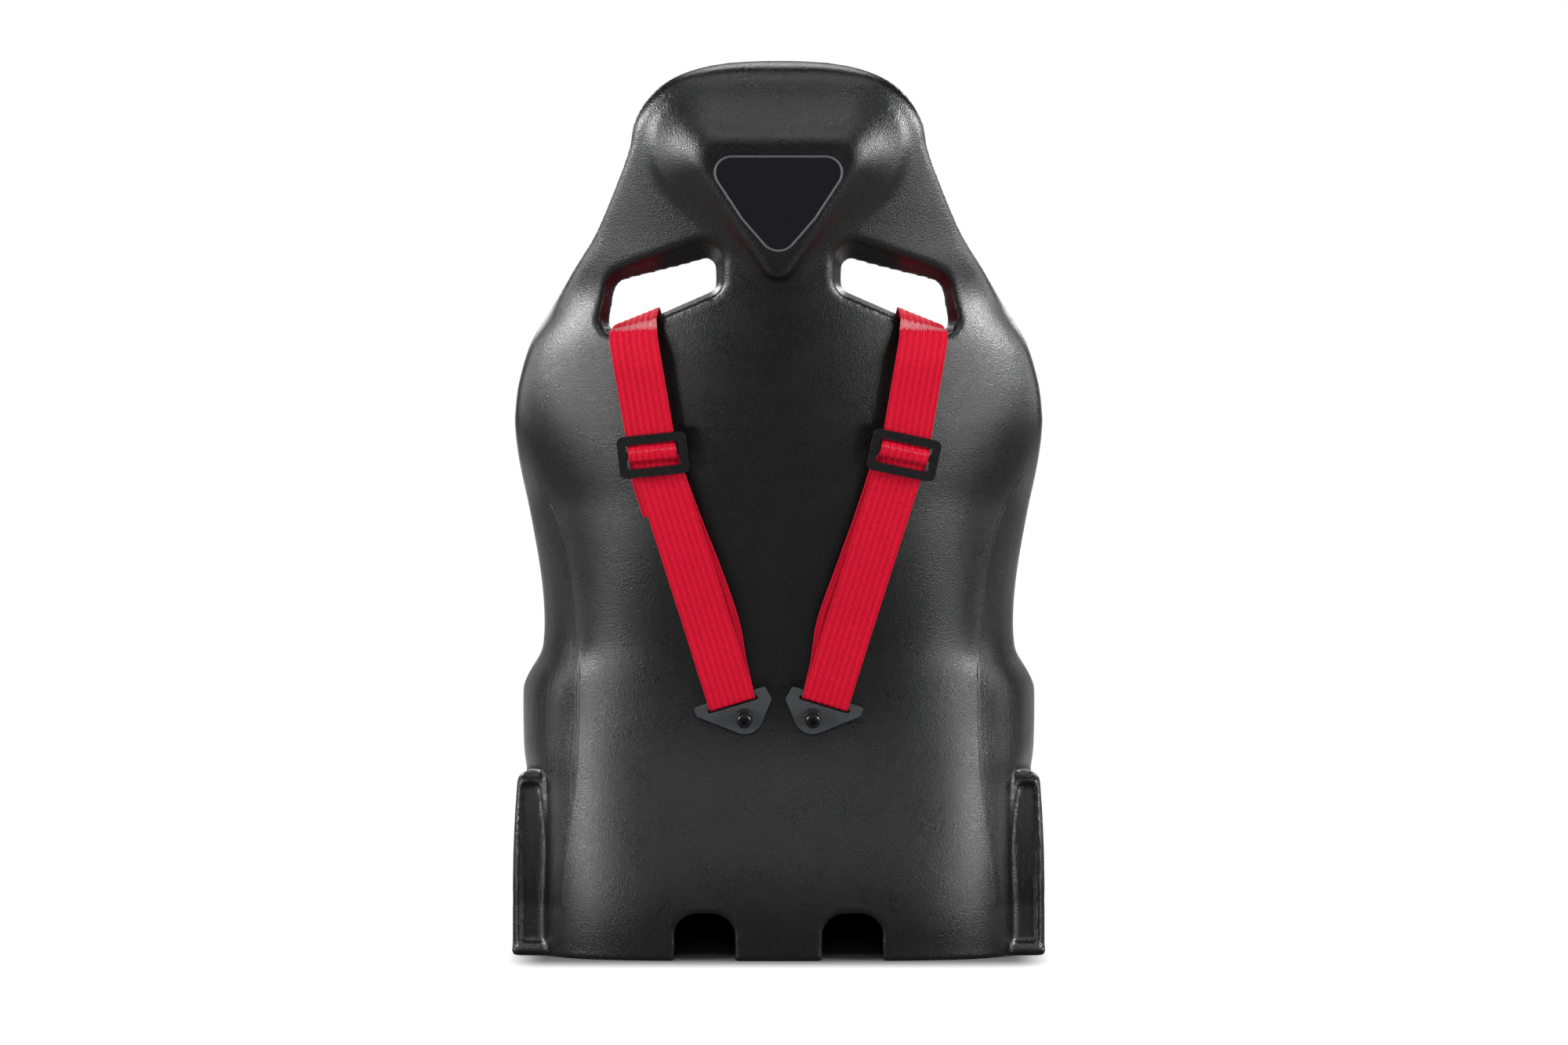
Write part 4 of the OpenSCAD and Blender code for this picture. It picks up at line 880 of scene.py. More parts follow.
def stitches(name, lines, out, length=4.4, pitch=6.4, radius=.55):
    """Rows of short threads lying on lines of points, each dipping into the cloth at its ends."""
    paths = []
    for line in lines:
        d = arc(line)
        for start in np.arange(1, d[-1] - length, pitch):
            at = start + length * np.linspace(0, 1, 5)
            paths.append(np.stack([np.interp(at, d, line[:, i]) for i in range(3)], 1))
    p = np.array(paths)
    t = p[:, -1] - p[:, 0]
    a = np.cross(t, out)
    a /= np.linalg.norm(a, axis=1)[:, None]
    b = np.cross(a, t)
    b /= np.linalg.norm(b, axis=1)[:, None]
    q = np.linspace(0, 2 * np.pi, 6, endpoint=False)
    ring = np.cos(q)[:, None] * a[:, None] + np.sin(q)[:, None] * b[:, None]
    thick, lift = np.array([.2, .8, 1, .8, .2]), np.array([-.5, .5, .8, .5, -.5])
    rise = (lift[:, None] * b[:, None])[:, :, None]
    points = p[:, :, None] + radius * (thick[:, None, None] * ring[:, None] + rise)
    k, i, j = np.meshgrid(np.arange(len(p)), np.arange(4), np.arange(6), indexing="ij")
    first, after = k * 30 + i * 6 + j, k * 30 + i * 6 + (j + 1) % 6
    faces = np.stack([first, after, after + 6, first + 6], -1).reshape(-1, 4)
    piece = mesh_piece(name, points.reshape(-1, 3), faces)
    outward(piece)
    return piece


def make_pads():
    made = []
    for word, low, high, channels, half, thick, place, seed in (
            ("seat", SEAT_REAR, SEAT_FRONT, SEAT_CHANNELS, seat_half, SEAT_PAD_T, on_seat, 1.3),
            ("back", BACK_LOW, BACK_HIGH, BACK_CHANNELS, back_half, BACK_PAD_T, on_front, 2.7),
            ("head", HEAD_LOW, HEAD_HIGH, [], head_half, HEAD_PAD_T, on_front, 4.1)):
        name = word + "_cushion"
        pad, seams = pad_piece(name, low, high, channels, half, thick, place, seed)
        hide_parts(word + "_pad")
        line = rim_line(low, high, half, place, thick * .09 * .5 + 1.4)
        pieces = [pad, tube(name + "_piping", line, 2.0, 10, closed=True)]
        if seams:
            out = (0, .2, 1) if place is on_seat else (0, 1, .3)
            pieces.append(stitches(name + "_stitches", seams, out))
        for piece in pieces:
            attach(piece, "seat")
        made.append(pieces)
    return made


# ---------------------------------------------------------------- webbing

def dense(points, sides, step=3.0):
    """A smooth curve through the points, about a step apart, with the side directions between them."""
    p = np.array(points, float)
    s = np.array(sides, float)
    q = np.vstack([2 * p[0] - p[1], p, 2 * p[-1] - p[-2]])
    k = np.sqrt(np.maximum(np.linalg.norm(np.diff(q, axis=0), axis=1), 1e-6))
    out, ways, guide = [], [], []
    for i in range(len(p) - 1):
        a, b, c, d = q[i:i + 4]
        u, v, w = k[i:i + 3]
        m1 = ((b - a) / u - (c - a) / (u + v) + (c - b) / v) * v
        m2 = ((c - b) / v - (d - b) / (v + w) + (d - c) / w) * v
        n = max(2, math.ceil(np.linalg.norm(c - b) / step))
        for t in np.arange(n) / n:
            out.append((2 * t ** 3 - 3 * t * t + 1) * b + (t ** 3 - 2 * t * t + t) * m1
                       + (3 * t * t - 2 * t ** 3) * c + (t ** 3 - t * t) * m2)
            ways.append(mix(s[i], s[i + 1], t))
            guide.append(i + t)
    return np.array(out + [p[-1]]), np.array(ways + [s[-1]]), np.array(guide + [len(p) - 1.0])


RIBS = 7
RIB_H = 0.22


def webbing(name, path, ways, start=0.0, ribs=None, worn=None):
    """A woven band with rounded edges, lengthwise ribs, and coordinates for its weave; worn is 0 to 1, the
    share of wear and of painted highlight.
    """
    n = len(path)
    t = np.gradient(path, axis=0)
    t /= np.linalg.norm(t, axis=1)[:, None]
    a = ways - t * np.sum(ways * t, 1)[:, None]
    a /= np.linalg.norm(a, axis=1)[:, None]
    b = np.cross(t, a)
    half, thick = WEB_W / 2, WEB_T / 2
    u = np.concatenate([-half + .8 * (1 - np.cos(np.linspace(0, np.pi / 2, 4)[:-1])),
                        np.linspace(-half + .8, half - .8, 57),
                        half - .8 * (1 - np.cos(np.linspace(np.pi / 2, 0, 4)[1:]))])
    edge = np.sqrt(np.maximum(0, 1 - clamp01((np.abs(u) - half + .8) / .8) ** 2))
    wave = np.cos(u / half * np.pi * (RIBS + .5)) * RIB_H * smooth((half - 1.5 - np.abs(u)) / 2)
    v = start + arc(path)
    amount = (np.ones(n) if ribs is None else np.asarray(ribs))[:, None]
    lift = edge * thick + (wave - RIB_H * .5) * amount
    flat = path[:, None, :] + a[:, None, :] * u[None, :, None]
    rise = b[:, None, :] * lift[:, :, None]
    rise[:, [0, -1]] = 0
    grid_u, grid_v = np.broadcast_arrays(u[None, :], v[:, None])
    # wear that also serves as a painted highlight
    rubbed = np.broadcast_to((np.zeros(n) if worn is None else np.asarray(worn))[:, None], grid_u.shape)
    weave = np.stack([grid_u, grid_v, rubbed], -1)
    return closed_band(name, flat + rise, flat - rise, {"weave": (weave, weave)})


# the strap's return under itself: share of the way up to the adjuster, and how far inwards it has slipped
INNER_SHIFT = {LEFT: [(.16, 3), (.3, 8), (.5, 7), (.7, 3), (.9, 0)],
               RIGHT: [(.16, 3), (.3, 9), (.5, 7.5), (.7, 5), (.9, 4)]}


def shoulder_rear(side):
    """From the slot down through the adjuster, round the anchor plate's bar and back up underneath."""
    (u0, v0), (pu, pv) = SLOT_IN_PLATE, TURNED_SLOT
    top_u, top_v = SLOT_EDGE_X + EDGE_SHIFT - 3 - ANCHOR_X, up_strap(SLOT_EDGE_Z - 20)

    def flat(u, v, w=0.0):
        return from_anchor(side, u, v, PLATE_MID + w)

    def run(q, w, inward=0.0):
        return flat(mix(pu, ADJUSTER_U, q) - inward, mix(pv, ADJUSTER_V, q), w)

    down = [flat(mix(top_u, ADJUSTER_U, q), mix(top_v, ADJUSTER_V, q)) for q in (.2, .4, .6, .8, 1)]
    down += [run(q, 0) for q in (.9, .7, .5, .3)] + [run(.16, FOLD_H * .6)]
    down += [from_anchor(side, u0, v0 + f, PLATE_MID + h, PLATE_TURN) for f, h in FOLD]
    return down + [run(q, -FOLD_H * (1.3 if q < .2 else 1.6), s) for q, s in INNER_SHIFT[side]]


def over_edge(side):
    """Through the slot, over its lower edge: (way ahead of the rear face, height, shift outwards)."""
    x, z = side * SLOT_EDGE_X, SLOT_EDGE_Z
    f = inner_y(SLOT_EDGE_X + WEB_W / 2, z) - EDGE_Y
    steps = [(f + 10, -10, 0), (f + 9, -3, 0), (f + 5, 2.5, 0), (f - 2, 4.6, 0), (28, 4.6, 0), (14, 2, 1),
             (4, -2.5, 3), (-4, -8.5, 5), (-REAR_LIFT, -20, EDGE_SHIFT)]
    return [np.array([x + side * (h * 0.16 + shift), EDGE_Y + d, z + h]) for d, h, shift in steps]


# the webbing over the back pad: lowest and highest height, and (share of the way up, |x|)
CHEST_LOW, CHEST_HIGH = 262.0, SLOT_TOP - 74
CHEST_WAY = [(0, 52), (.175, 62), (.356, 76), (.562, 93), (.758, 110), (.912, 126), (1, SLOT_EDGE_X - 6)]


def chest_y(x, z):
    """y of the webbing, clear of the pad and the back across its whole width."""
    clear = []
    for dz in (-9, 0, 9):
        h = back_half(min(z + dz, BACK_HIGH - 1))
        for k in (-1, -.5, 0, .5, 1):
            q = abs(x + k * WEB_W / 2)
            pad = PAD_GAP + float(back_full(q / h, z + dz)) if q < h and z + dz < BACK_HIGH else 0
            clear.append(inner_y(q, z + dz) - tan(RECLINE) * -dz + pad)
    return 3.6 + max(clear)


def shoulder_front(side):
    """From the tongue's slot up over the back pad, towards the shell's slot."""
    d = shoulder_way(side)

    def at(s, w):
        return from_buckle(TONGUE_SLOT * d + s * d + np.array([0, 0, w]))

    points = [at(FOLD_TAIL, -FOLD_H), at(FOLD_TAIL / 2, -FOLD_H)]
    points += [at(*f) for f in FOLD[::-1]] + [at(12, FOLD_H), at(24, FOLD_H)]
    tongue = len(points) - 1
    for z in np.arange(CHEST_LOW + 13, CHEST_HIGH - 5, 25):
        x = float(along(CHEST_WAY, (z - CHEST_LOW) / (CHEST_HIGH - CHEST_LOW)))
        points.append(np.array([side * x, chest_y(x, z) + 10 * float(smooth((300 - z) / 40)), z]))
    slot = side * slot_way(1, side * d)
    ways = [mix(slot, X_WAY, float(smooth((i - tongue) / 4))) for i in range(len(points))]
    return points, ways


def make_shoulder_webbing(side, word):
    front, ways = shoulder_front(side)
    edge = over_edge(side)
    rear = shoulder_rear(side)
    edge_way = np.array([math.cos(SLOT_SLOPE), 0, -side * math.sin(SLOT_SLOPE)])
    drop = side * math.sin(PLATE_TURN)
    plate_way = np.array([math.cos(PLATE_TURN), drop * math.sin(STRAP_LEAN), -drop * math.cos(STRAP_LEAN)])
    ways += [edge_way] * len(edge)
    ways += [plate_way if p[2] < ANCHOR_H + 30 else X_WAY for p in rear]
    path, ways, guide = dense(front + edge + rear, ways)
    length = arc(path)
    cut = int(np.searchsorted(guide, len(front) + 4))
    # ribs stand out most between the slot and the adjuster, and faintly near the plate
    turn = len(front) + len(edge)
    rib = np.interp(guide, [0, turn, turn + 4, turn + 5, turn + 8, turn + 10, guide[-1]],
                    [.6, 1, 1, .3, .35, .75, .5])
    a = webbing("harness_front_" + word, path[:cut + 1], ways[:cut + 1], 0, rib[:cut + 1])
    # a pale band where the webbing bends over the slot's lower edge: wear, and a painted highlight there
    edge_at = length[np.searchsorted(guide, turn - 3)]
    worn = np.exp(-((length - edge_at - 9) / 9) ** 2)
    b = webbing("harness_rear_" + word, path[cut:], ways[cut:], length[cut], rib[cut:], worn[cut:])
    for piece in (a, b):
        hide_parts("shoulder_webbing_" + word)
    (path[guide.searchsorted(len(front) - 12)]) * MM
    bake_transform(a)
    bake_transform(b)
    return a, b


def make_tail(side, word, length, out):
    """The cut end of the webbing, which shows below the adjuster at the strap's edge."""
    pu, pv = TURNED_SLOT
    total = math.hypot(ADJUSTER_U - pu, ADJUSTER_V - pv)
    points = []
    for s in np.arange(4, length + 1, 3.0):
        q = 1 - s / total
        points.append(from_anchor(side, mix(pu, ADJUSTER_U, q) + out * float(smooth((s - 8) / 20)),
                                  mix(pv, ADJUSTER_V, q), PLATE_MID - 2.25))
    path, ways, _ = dense(points, [X_WAY] * len(points))
    tail = webbing("harness_tail_" + word, path, ways)
    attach(tail, "slider_" + word)
    return tail


def make_fold(side, word):
    """The webbing over the adjuster's bar."""
    adj_low = WEB_T * 1.5 + 3 * GAP
    top = adj_low + 4 + GAP + WEB_T / 2
    low = WEB_T + GAP
    way = [(17, low), (12.4, low + .2), (9.9, 4.4), (8, top - .9), (5, top), (2, top + .2), (-1, top),
           (-4, top - .9), (-6.3, 4.4), (-9.4, low + .2), (-17, low)]
    a = -side * math.radians(6 if side == LEFT else 12)

    def place(x, y, w):
        return from_anchor(side, ADJUSTER_U + side * (x * math.cos(a) - y * math.sin(a)),
                           ADJUSTER_V + x * math.sin(a) + y * math.cos(a), PLATE_MID + w)

    points = [place(0, p, w) for p, w in way]
    side_way = place(1, 0, 0) - place(0, 0, 0)
    path, ways, _ = dense(points, [side_way] * len(points), 1.2)
    # a pale crest where the webbing bends over the adjuster's bar: wear, and a painted highlight there
    worn = .8 * np.exp(-((np.linspace(17, -17, len(path)) - 5) / 2) ** 2)
    fold = webbing("harness_fold_" + word, path, ways, 0, np.full(len(path), .9), worn)
    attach(fold, "slider_" + word)
    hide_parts("adjuster_fold_" + word)
    return fold


def make_lap_webbing(side, word):
    """From the lap anchor's plate in a free curve to the lap tongue; the right one's end is a piece of its
    own.
    """
    d = lap_way(side)
    t = TONGUE_SLOT * d

    def at(s, w):
        return from_buckle(t + s * d + np.array([0, 0, w]))

    def low(s, w):
        return np.array([side * (LAP_FACE_X - LAP_MID - w), LAP_Y, LAP_H + LAP_PLATE_UP + s])

    a, b = low(10, FOLD_H), at(18, FOLD_H + 0.4)
    points = [low(FOLD_TAIL, -FOLD_H - .4)] + [low(*f) for f in FOLD[::-1]]
    points += [bezier(a, a + [-side * 8, 0, 75], b + [side * 60, 4, 6], b, q)
               for q in np.arange(0, 1.01, .1)]
    points += [at(*f) for f in FOLD] + [at(FOLD_TAIL, -FOLD_H)]
    first, last = 1 + len(FOLD), len(points) - 2 - len(FOLD)
    ways = [mix(np.array([0, 1.0, 0]), slot_way(side, d), float(smooth((i - first) / (last - first))))
            for i in range(len(points))]
    path, ways, guide = dense(points, ways)
    length = arc(path)
    cut = int(np.searchsorted(guide, (first + last) / 2))
    start, end = path[guide.searchsorted(first + 4)] * MM, path[guide.searchsorted(first)] * MM
    if side == LEFT:
        pieces = [webbing("lap_strap_left", path, ways)]
        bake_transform(pieces[0])
    else:
        pieces = [webbing("lap_strap_right", path[:cut + 1], ways[:cut + 1]),
                  webbing("lap_strap_right_end", path[cut:], ways[cut:], length[cut])]
        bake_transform(pieces[0])
        near = path[guide.searchsorted(last - 4)] * MM
        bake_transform(pieces[1])
    for piece in pieces:
        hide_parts("lap_webbing_" + word)
    return pieces


# ---------------------------------------------------------------- badge

def shield_line(grow, count=180):
    """Closed outline of the badge's shield, evenly spaced, in the plane of the badge."""
    line = circles_hull(in_badge_frame(SHIELD, grow), 24)
    d = arc(line)
    at = np.linspace(0, d[-1], count, endpoint=False)
    return np.stack([np.interp(at, d, line[:, 0]), np.interp(at, d, line[:, 1])], 1)


def on_back(u, v, n):
    """Point of the badge's plane: u across, v up the back, n out of it."""
    lean = math.radians(RECLINE)
    y0 = back_y(0, BADGE_H)
    return np.array([u, y0 - v * math.sin(lean) - n * math.cos(lean),
                     BADGE_H + v * math.cos(lean) - n * math.sin(lean)])


def make_badge():
    """A bare satin plate inside a thin raised rim, marked for a painted highlight."""
    section = [(-.6, BOSS_T - 2.5), (-.1, BOSS_T + .1), (-.5, BOSS_T + .75), (-1.1, BOSS_T + .95),
               (-1.7, BOSS_T + .75), (-2.1, BOSS_T + .25), (-2.6, BOSS_T + .1), (-5, BOSS_T + .1),
               (-9, BOSS_T + .1), (-14, BOSS_T + .1)]
    count = 180
    points, bead_highlight = [], []
    for grow, n in section:
        points += [on_back(u, v, n) for u, v in shield_line(grow, count)]
        # the rings of the raised rim, marked for the painted highlight that the badge material gives them
        bead_highlight += [1.0 if -2.3 < grow < -.05 else 0.0] * count
    faces = [[r * count + k, r * count + (k + 1) % count,
              (r + 1) * count + (k + 1) % count, (r + 1) * count + k]
             for r in range(len(section) - 1) for k in range(count)]
    faces.append([(len(section) - 1) * count + k for k in range(count)])
    badge = mesh_piece("badge", points, faces, {"bead_highlight": bead_highlight})
    outward(badge)
    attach(badge, "seat")
    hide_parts("badge_plate")
    return badge


# ---------------------------------------------------------------- materials

class Paint:
    """A procedural material under construction: short names for the nodes it needs."""

    def __init__(self, name, color, rough, metallic=0.0, specular=0.5):
        self.material = bpy.data.materials.new(name)
        self.material.use_nodes = True
        self.nodes = self.material.node_tree.nodes
        self.links = self.material.node_tree.links
        self.shader = self.nodes["Principled BSDF"]
        self.material.diffuse_color = (*color, 1)
        self.set("Base Color", (*color, 1))
        self.set("Roughness", rough)
        self.set("Metallic", metallic)
        self.set("Specular IOR Level", specular)
        self.place = self.add("ShaderNodeTexCoord").outputs["Object"]
        self.height = None

    def add(self, kind, inputs=None, **settings):
        node = self.nodes.new(kind)
        for key, value in settings.items():
            setattr(node, key, value)
        for key, value in (inputs or {}).items():
            self.feed(node.inputs[key], value)
        return node

    def feed(self, socket, value):
        if isinstance(value, bpy.types.NodeSocket):
            self.links.new(value, socket)
        else:
            socket.default_value = value

    def set(self, name, value):
        self.feed(self.shader.inputs[name], value)

    def math(self, operation, a, b=0.0, c=0.0):
        return self.add("ShaderNodeMath", {0: a, 1: b, 2: c}, operation=operation).outputs[0]

    def noise(self, scale, detail=2.0, rough=0.5, at=None):
        return self.add("ShaderNodeTexNoise", {
            "Vector": at or self.place, "Scale": scale, "Detail": detail, "Roughness": rough}).outputs["Fac"]

    def cells(self, scale):
        return self.add("ShaderNodeTexVoronoi", {"Vector": self.place, "Scale": scale}).outputs["Distance"]

    def span(self, value, low, high, to_low, to_high):
        node = self.add("ShaderNodeMapRange", {
            "Value": value, "From Min": low, "From Max": high, "To Min": to_low, "To Max": to_high})
        return node.outputs["Result"]

    def blend(self, factor, a, b):
        node = self.add("ShaderNodeMix", data_type="RGBA")
        for socket, value in ((node.inputs[0], factor), (node.inputs[6], a), (node.inputs[7], b)):
            self.feed(socket, (*value, 1) if isinstance(value, tuple) else value)
        return node.outputs[2]

    def bump(self, value, strength, distance):
        inputs = {"Height": value, "Strength": strength, "Distance": distance}
        if self.height is not None:
            inputs["Normal"] = self.height
        self.height = self.add("ShaderNodeBump", inputs).outputs["Normal"]
        self.set("Normal", self.height)

    def attribute(self, name):
        return self.add("ShaderNodeAttribute", attribute_name=name)

    def on(self, *pieces):
        for piece in pieces:
            piece.data.materials.clear()
            piece.data.materials.append(self.material)


def moulded_plastic():
    """Black moulded shell: a fine leathery grain, slightly uneven gloss, streaked side panels painted darker
    as painted shade.
    """
    p = Paint("moulded_black_plastic", (.007, .0071, .0075), .37)
    panel = p.attribute("panel").outputs["Fac"]
    grain = p.noise(520, 2, .6)
    cells = p.cells(700)
    rough = p.span(p.noise(26, 3), .3, .7, .28, .34)
    p.set("Roughness", p.math("MULTIPLY_ADD", p.math("SUBTRACT", grain, .5), .22, rough))
    pale = p.blend(p.span(grain, .35, .68, 0, 1), (.0006, .0006, .0008), (.0036, .0037, .0042))
    # painted shade: the side panels are painted darker, and their specular level is lowered with them
    p.set("Base Color", p.blend(p.math("MULTIPLY", panel, .6), pale, (.0004, .0004, .0006)))
    p.set("Specular IOR Level", p.math("MULTIPLY_ADD", panel, -.2, .5))
    p.bump(p.math("MULTIPLY_ADD", grain, .75, p.math("MULTIPLY", cells, .5)), .6, .0006)
    streaks = p.add("ShaderNodeMapping", {"Vector": p.place, "Scale": (1, 1, .05)}).outputs[0]
    p.bump(p.math("MULTIPLY", panel, p.noise(210, 3, .6, streaks)), .6, .0012)
    return p


def red_webbing():
    """Woven red polyester: lengthwise ribs of zigzag threads, with a soft sheen, painted shade in the
    grooves between the ribs, and lighter crowns that are wear and a painted highlight.
    """
    p = Paint("red_webbing", (.5, .006, .028), .58, 0.0, .08)
    p.set("Sheen Weight", .05)
    p.set("Sheen Roughness", .4)
    p.set("Sheen Tint", (1, .45, .45, 1))
    axes = p.add("ShaderNodeSeparateXYZ", {0: p.attribute("weave").outputs["Vector"]})
    u, v, worn = axes.outputs["X"], axes.outputs["Y"], axes.outputs["Z"]
    zigzag = p.math("PINGPONG", v, 1.1)
    rib = p.math("COSINE", p.math("MULTIPLY", u, math.pi * (RIBS + .5) / (WEB_W / 2)))
    warp = p.math("SINE", p.math("MULTIPLY", p.math("MULTIPLY_ADD", zigzag, .55, u), 2 * math.pi / 1.25))
    weft = p.math("SINE", p.math("MULTIPLY", p.math("MULTIPLY_ADD", u, .25, v), 2 * math.pi / 1.5))
    thread = p.math("MULTIPLY_ADD", warp, .6, p.math("MULTIPLY", weft, .4))
    long = p.add("ShaderNodeCombineXYZ", {0: u, 1: p.math("MULTIPLY", v, .25), 2: 0.0}).outputs[0]
    uneven = p.noise(.9, 3, .6, long)
    # painted shade: the colour follows the ribs, paler on their crowns and darker in the grooves between
    # them
    shade = p.math("MULTIPLY_ADD", thread, .16, p.math("MULTIPLY_ADD", rib, .14, .5))
    shade = p.math("MULTIPLY_ADD", p.math("SUBTRACT", uneven, .5), .9, shade)
    red = p.blend(p.span(shade, .1, .9, 0, 1), (.235, .0003, .007), (.61, .0036, .028))
    # the pale rubbed threads are wear, and also a painted highlight on the crowns where the webbing bends
    # over an edge
    rubbed = p.math("MULTIPLY", worn, p.math("MULTIPLY_ADD", uneven, 1.6, p.math("MULTIPLY", warp, .55)))
    pale = p.span(rubbed, .95, 1.15, 0, 1)
    p.set("Base Color", p.blend(pale, red, (.42, .36, .37)))
    p.bump(thread, .6, .00028)
    p.bump(uneven, .3, .0002)
    return p


def coated_steel(name, color, rough, specular=.5):
    """Powder-coated or blackened steel: fine pebble, slightly uneven gloss, small paler worn spots."""
    p = Paint(name, color, rough, 0.0, specular)
    p.set("Roughness", p.span(p.noise(190, 3), .3, .7, rough - .07, rough + .08))
    worn = tuple(c * 2.6 + .01 for c in color)
    p.set("Base Color", p.blend(p.span(p.noise(520, 3, .7), .55, .8, 0, .6), color, worn))
    p.bump(p.noise(900, 2), .25, .0002)
    return p


def bare_metal(name, color, rough, stretch=(1, 1, 1)):
    """Plated or machined metal with fine marks drawn out along one direction."""
    p = Paint(name, color, rough, 1.0)
    at = p.add("ShaderNodeMapping", {"Vector": p.place, "Scale": stretch}).outputs[0]
    lines = p.noise(420, 4, .6, at)
    p.set("Roughness", p.span(lines, .3, .7, rough - .03, rough + .05))
    dull = tuple(c * .85 for c in color)
    p.set("Base Color", p.blend(p.span(p.noise(60, 3), .35, .7, 0, 1), color, dull))
    p.bump(lines, .05, .00002)
    return p


def satin_badge():
    """Badge: smooth satin black face inside a raised rim painted paler, a painted highlight."""
    p = Paint("badge_satin", (.005, .005, .006), .42, 0.0, .17)
    bead_highlight = p.attribute("bead_highlight").outputs["Fac"]
    fine = p.noise(1500, 2)
    face = p.blend(fine, (.003, .003, .0035), (.006, .006, .007))
    # painted highlight: the raised rim is painted much paler than the face
    p.set("Base Color", p.blend(bead_highlight, face, (.075, .075, .08)))
    p.set("Roughness", p.span(fine, .3, .7, .36, .46))
    p.bump(fine, .12, .0001)
    return p


def pad_fabric():
    """Pad cloth: a close black weave with a soft sheen, a little lighter where it is rubbed."""
    p = Paint("pad_cloth", (.018, .018, .02), .9)
    p.set("Sheen Weight", .35)
    p.set("Sheen Roughness", .5)
    p.set("Sheen Tint", (.55, .57, .6, 1))
    axes = p.add("ShaderNodeSeparateXYZ", {0: p.attribute("weave").outputs["Vector"]})
    u, v = axes.outputs["X"], axes.outputs["Y"]
    weave = p.math("MULTIPLY", p.math("SINE", p.math("MULTIPLY", u, 2 * math.pi / 1.9)),
                   p.math("SINE", p.math("MULTIPLY", v, 2 * math.pi / 1.9)))
    soft = p.noise(22, 4)
    mixed = p.math("MULTIPLY_ADD", weave, .22, p.math("MULTIPLY", soft, .9))
    p.set("Base Color", p.blend(p.span(mixed, .2, .75, 0, 1), (.0095, .0095, .0105), (.034, .0345, .037)))
    p.bump(weave, .55, .0003)
    p.bump(p.noise(260, 3), .3, .0004)
    return p


def thread(name, color):
    """Twisted sewing thread."""
    p = Paint(name, color, .7)
    p.set("Sheen Weight", .3)
    twist = p.noise(1400, 2)
    p.set("Base Color", p.blend(twist, tuple(c * .6 for c in color), color))
    p.bump(twist, .4, .0002)
    return p


def hook_tape():
    """Hook-and-loop tape: a dense nap of tiny hooks."""
    p = Paint("hook_tape", (.014, .014, .015), .85)
    cells = p.cells(1100)
    p.set("Base Color", p.blend(p.span(cells, .1, .6, 0, 1), (.03, .03, .032), (.006, .006, .0065)))
    p.bump(cells, .8, .0005)
    return p


def smooth_plastic(name, color, rough):
    """Injection-moulded part: fine spark-eroded grain and a little uneven gloss."""
    p = Paint(name, color, rough)
    p.set("Roughness", p.span(p.noise(40, 3), .3, .7, rough - .06, rough + .06))
    dark, pale = (tuple(c * k for c in color) for k in (.85, 1.2))
    p.set("Base Color", p.blend(p.noise(300, 3), dark, pale))
    p.bump(p.noise(1300, 2), .3, .0002)
    return p


# ---------------------------------------------------------------- camera, light, floor: in metres

REFERENCE_Y = -0.30          # the plane in which the camera's frame is FRAME_WIDTH wide
CAMERA_DISTANCE = 4.0
FRAME_WIDTH = 1.62
CAMERA_X, CAMERA_H = 0.0057, 0.462


def make_camera():
    data = bpy.data.cameras.new("camera")
    data.sensor_width = 36
    data.lens = 36 * CAMERA_DISTANCE / FRAME_WIDTH
    camera = bpy.data.objects.new("camera", data)
    camera.location = (CAMERA_X, REFERENCE_Y - CAMERA_DISTANCE, CAMERA_H)
    camera.rotation_euler = (math.radians(90), 0, 0)
    bpy.context.scene.collection.objects.link(camera)
    bpy.context.scene.camera = camera


def area_light(name, location, target, size, power):
    data = bpy.data.lights.new(name, "AREA")
    data.shape = "RECTANGLE"
    data.size, data.size_y = size
    data.energy = power
    lamp = bpy.data.objects.new(name, data)
    lamp.location = location
    lamp.rotation_euler = (Vector(target) - Vector(location)).to_track_quat("-Z", "Y").to_euler()
    bpy.context.scene.collection.objects.link(lamp)


def make_lamps():
    for side in (LEFT, RIGHT):
        area_light("softbox_main", (side * 2.05, -1.0, .35), (0, -.2, .5), (.5, 1.0), 3)
        area_light("softbox_shoulder", (side * 1.5, -.8, .9), (side * .2, -.25, .62), (.55, .5), 33)
        area_light("softbox_low", (side * 1.45, -1.5, .16), (side * .1, -.33, .75), (.9, .3), 11.5)
        area_light("softbox_rim", (side * 2.5, .5, .9), (0, -.1, .5), (.5, 1.5), 17)
        area_light("softbox_high", (side * 1.1, -1.9, 2.6), (0, -.3, .8), (.8, .8), 5.5)
        area_light("softbox_rear", (side * .9, -4.1, 2.9), (0, -.3, .4), (.9, .9), 21)
        area_light("softbox_ahead", (side * 1.8, 2.6, 2.1), (0, .1, .4), (1.0, 1.0), 38)
    area_light("softbox_camera", (0, -4.6, 1.3), (0, -.3, .3), (1.2, .4), 11)
    area_light("softbox_top", (0, .4, 2.9), (0, -.1, .5), (1.6, .8), 34)


def backdrop_share(tree, toward):
    """1 for camera rays; for glossy and transmitted rays, 1 only towards the white backdrop."""
    path = tree.nodes.new("ShaderNodeLightPath").outputs

    def math_node(operation, a, b):
        node = tree.nodes.new("ShaderNodeMath")
        node.operation = operation
        tree.links.new(a, node.inputs[0])
        tree.links.new(b, node.inputs[1])
        return node.outputs[0]

    mirror = math_node("MAXIMUM", path["Is Glossy Ray"], path["Is Transmission Ray"])
    return math_node("MAXIMUM", path["Is Camera Ray"], math_node("MULTIPLY", mirror, toward))


def toward_backdrop(tree, vector, low, high):
    """0 to 1 as the y of a vector rises from low to high."""
    axes = tree.nodes.new("ShaderNodeSeparateXYZ")
    tree.links.new(vector, axes.inputs[0])
    ramp_node = tree.nodes.new("ShaderNodeMapRange")
    ramp_node.interpolation_type = "SMOOTHSTEP"
    tree.links.new(axes.outputs["Y"], ramp_node.inputs["Value"])
    ramp_node.inputs["From Min"].default_value = low
    ramp_node.inputs["From Max"].default_value = high
    return ramp_node.outputs["Result"]


